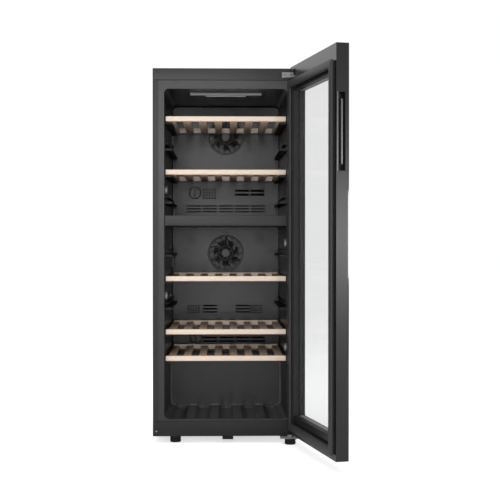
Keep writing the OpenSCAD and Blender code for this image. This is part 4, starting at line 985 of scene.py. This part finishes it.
def hingeScrewShape():
    # Two screws face forwards on the upper bracket; two face down on the lower plate.
    high = cadBox("hinge_screws")[1]
    bracketLow = cadBox("hinge_bracket_top")[0]
    parts = []
    for dx in hingeScrew["upperPlaces"]:
        place = (bracketLow[0] + dx * mm, hingeScrew["upperFace"], high[2] - hingeScrew["upperRadius"])
        parts.append(screwShape(place, (0, -1, 0), hingeScrew["upperRadius"], 2 * mm))
    for x in hingeScrew["lowerPlaces"]:
        place = (x * mm, hingeScrew["lowerBack"], hingeScrew["lowerFace"])
        parts.append(screwShape(place, (0, 0, -1), hingeScrew["lowerRadius"], 1.9 * mm))
    return joined(parts)


makePiece("hingeScrews", hingeScrewShape(), "cabinet", "screwSteel", ["hinge_screws"])


def footShape(node):
    # A fluted levelling foot: rubber sole, gripping rim and threaded stud.
    low, high = cadBox(node)
    radius = (high[0] - low[0]) / 2
    centre = ((low[0] + high[0]) / 2, (low[1] + high[1]) / 2, low[2])
    profile = [(radius - 1.6 * mm, 0), (radius - 0.4 * mm, 1 * mm), (radius, 3 * mm), (radius, 9.6 * mm),
               (radius - 1.2 * mm, 11.6 * mm), (7 * mm, foot["neck"])]
    rim = lathe(profile, centre, (0, 0, 1), 144, foot["flutes"], foot["fluteDepth"])
    # The stud's radius steps in at every second turn of its thread.
    turns = np.arange(foot["neck"], high[2] - low[2], foot["pitch"])
    inwards = foot["thread"] * (np.arange(len(turns)) % 2)
    return joined([rim, lathe(np.stack([foot["stud"] - inwards, turns], -1), centre, (0, 0, 1), 32)])


for side in ("left", "right"):
    makePiece(f"{side}Foot", footShape(f"front_foot_{side}"), f"{side}_foot", "footPlastic",
              [f"front_foot_{side}"])


def collarShape(node, top):
    # The fixed ring over a levelling foot, hollow round its stud.
    low, high = cadBox(node)
    centre = ((low[0] + high[0]) / 2, (low[1] + high[1]) / 2, 0)
    section = np.array([(5.6, 12.4), (17.6, 12.4), (18.5, 13.4), (18.5, top - 0.8), (17.8, top),
                        (5.6, top)]) * mm
    angle, radius = circle(72)[:, None], section[:, 0]
    spots = np.broadcast_arrays(centre[0] + radius * np.cos(angle), centre[1] + radius * np.sin(angle),
                                section[:, 1])
    return loft(np.stack(spots, -1), closeRows=True)


def fixedFeetShape():
    profile = np.array([(16.5, 0), (18.0, 1.2), (18.5, 3), (17, 14), (14, 22.8)]) * mm
    parts = [lathe(profile, (x * mm, 499 * mm, 0), (0, 0, 1), 48) for x in (-207.5, 207.5)]
    parts.append(roundedBlock([-12 * mm, 1 * mm, 12 * mm], [25 * mm, 27 * mm, 22.8 * mm], 2 * mm))
    parts += [collarShape("front_foot_left", 22.7), collarShape("front_foot_right", 18.7)]
    return joined(parts)


makePiece("fixedFeet", fixedFeetShape(), "cabinet", "footPlastic", ["fixed_feet"])


def coverShape():
    # Curved hoods over the slots in the rear cover: each is a quarter circle drawn along x.
    low, high = cadBox("compressor_cover")
    parts = []
    for middle in rear["hoodMiddles"]:
        ends = ((middle - rear["hoodHalf"]) * mm, (middle + rear["hoodHalf"]) * mm)
        for row in range(rear["hoodRows"]):
            z = low[2] + (rear["firstHood"] + row * rear["hoodPitch"]) * mm
            turn = np.linspace(0, math.pi / 2, 7)
            out = rear["hoodReach"] * np.sin(turn)
            up = rear["hoodRise"] - rear["hoodRise"] * (1 - np.cos(turn)) * 0.9
            arc = np.stack([high[1] + out, z + up], -1)
            inner = arc[::-1] - [0.5 * mm, 0.3 * mm]
            inner[:, 0] = np.maximum(inner[:, 0], high[1] - 0.2 * mm)
            parts.append(drawnAlong(0, np.concatenate([arc, inner]), ends))
    for x in np.linspace(low[0] + 12 * mm, high[0] - 12 * mm, 4):
        for z in (low[2] + 10 * mm, high[2] - 10 * mm):
            parts.append(screwShape((x, high[1], z), (0, 1, 0), 4 * mm, 2 * mm))
    return joined(parts)


makePiece("coverHoods", coverShape(), "cabinet", "blackPlastic")
print("fittings made")


# ---- Floor, light and colour ----

studio = {"floor": 0.90, "floorGlow": 0.62, "around": 0.46}


def paleFloor():
    # A pale matt floor that looks as bright as the background where the camera sees it.
    material, tree, shader = newMaterial("paleFloor", 0.8, specular=0.2)
    marked = placeGroup(tree, wear, {"Color": (studio["floor"],) * 3 + (1,), "Rough": 0.8, "Amount": 0.01})
    tree.links.new(marked.outputs["Color"], shader.inputs["Base Color"])
    shader.inputs["Emission Color"].default_value = (1, 1, 1, 1)
    ray = addNode(tree, "LightPath")
    glow = addNode(tree, "Math", {0: ray.outputs["Is Camera Ray"], 1: studio["floorGlow"]},
                   operation="MULTIPLY")
    tree.links.new(glow.outputs[0], shader.inputs["Emission Strength"])
    return material


def whiteWorld():
    # White where the camera sees it, and softer where it only lights the scene.
    world = bpy.data.worlds.new("studioWorld")
    world.use_nodes = True
    tree = world.node_tree
    ray = addNode(tree, "LightPath")
    seen = addNode(tree, "MapRange", {"Value": ray.outputs["Is Camera Ray"], "To Min": studio["around"],
                                                "To Max": 1.02})
    tree.links.new(seen.outputs["Result"], tree.nodes["Background"].inputs["Strength"])
    tree.nodes["Background"].inputs["Color"].default_value = (1, 1, 1, 1)
    bpy.context.scene.world = world


# Each lamp: its place, what it aims at, its width and height, and its radiance.
lamps = {"keyLight": ((-0.95, -3.5, 1.3), (-0.1, 0.1, 0.85), (1.0, 0.9), 6.2),
         "fillLight": ((1.95, -3.2, 0.72), (0.3, -0.3, 0.66), (0.9, 0.5), 13.5),
         "stripLight": ((0.0, -4.2, 1.0), (0, 0.4, 0.75), (0.28, 2.4), 10.6),
         "backLight": ((-1.3, 2.5, 2.1), (0.3, -0.25, 1.25), (1.8, 0.9), 0.9),
         "topLight": ((0.0, -0.6, 3.4), (0, -0.3, 0.0), (2.6, 2.6), 2.2)}


def buildStudio():
    mesh = bpy.data.meshes.new("floorSheet")
    mesh.from_pydata([(-30, -30, 0), (30, -30, 0), (30, 30, 0), (-30, 30, 0)], [], [(0, 1, 2, 3)])
    mesh.materials.append(paleFloor())
    floor = bpy.data.objects.new("floorSheet", mesh)
    bpy.context.scene.collection.objects.link(floor)
    whiteWorld()
    for name, (place, aim, size, radiance) in lamps.items():
        # An area lamp's power is its radiance times its area times pi.
        data = bpy.data.lights.new(name, "AREA")
        data.shape = "RECTANGLE"
        data.size, data.size_y = size
        data.energy = radiance * size[0] * size[1] * math.pi
        lamp = bpy.data.objects.new(name, data)
        lamp.location = place
        way = np.array(aim) - np.array(place)
        lamp.rotation_euler = (math.atan2(math.hypot(way[0], way[1]), -way[2]), 0,
                               math.atan2(way[1], way[0]) - math.pi / 2)
        lamp.visible_camera = False
        bpy.context.scene.collection.objects.link(lamp)
    bpy.context.scene.view_settings.view_transform = "Standard"


buildStudio()
print("studio built")
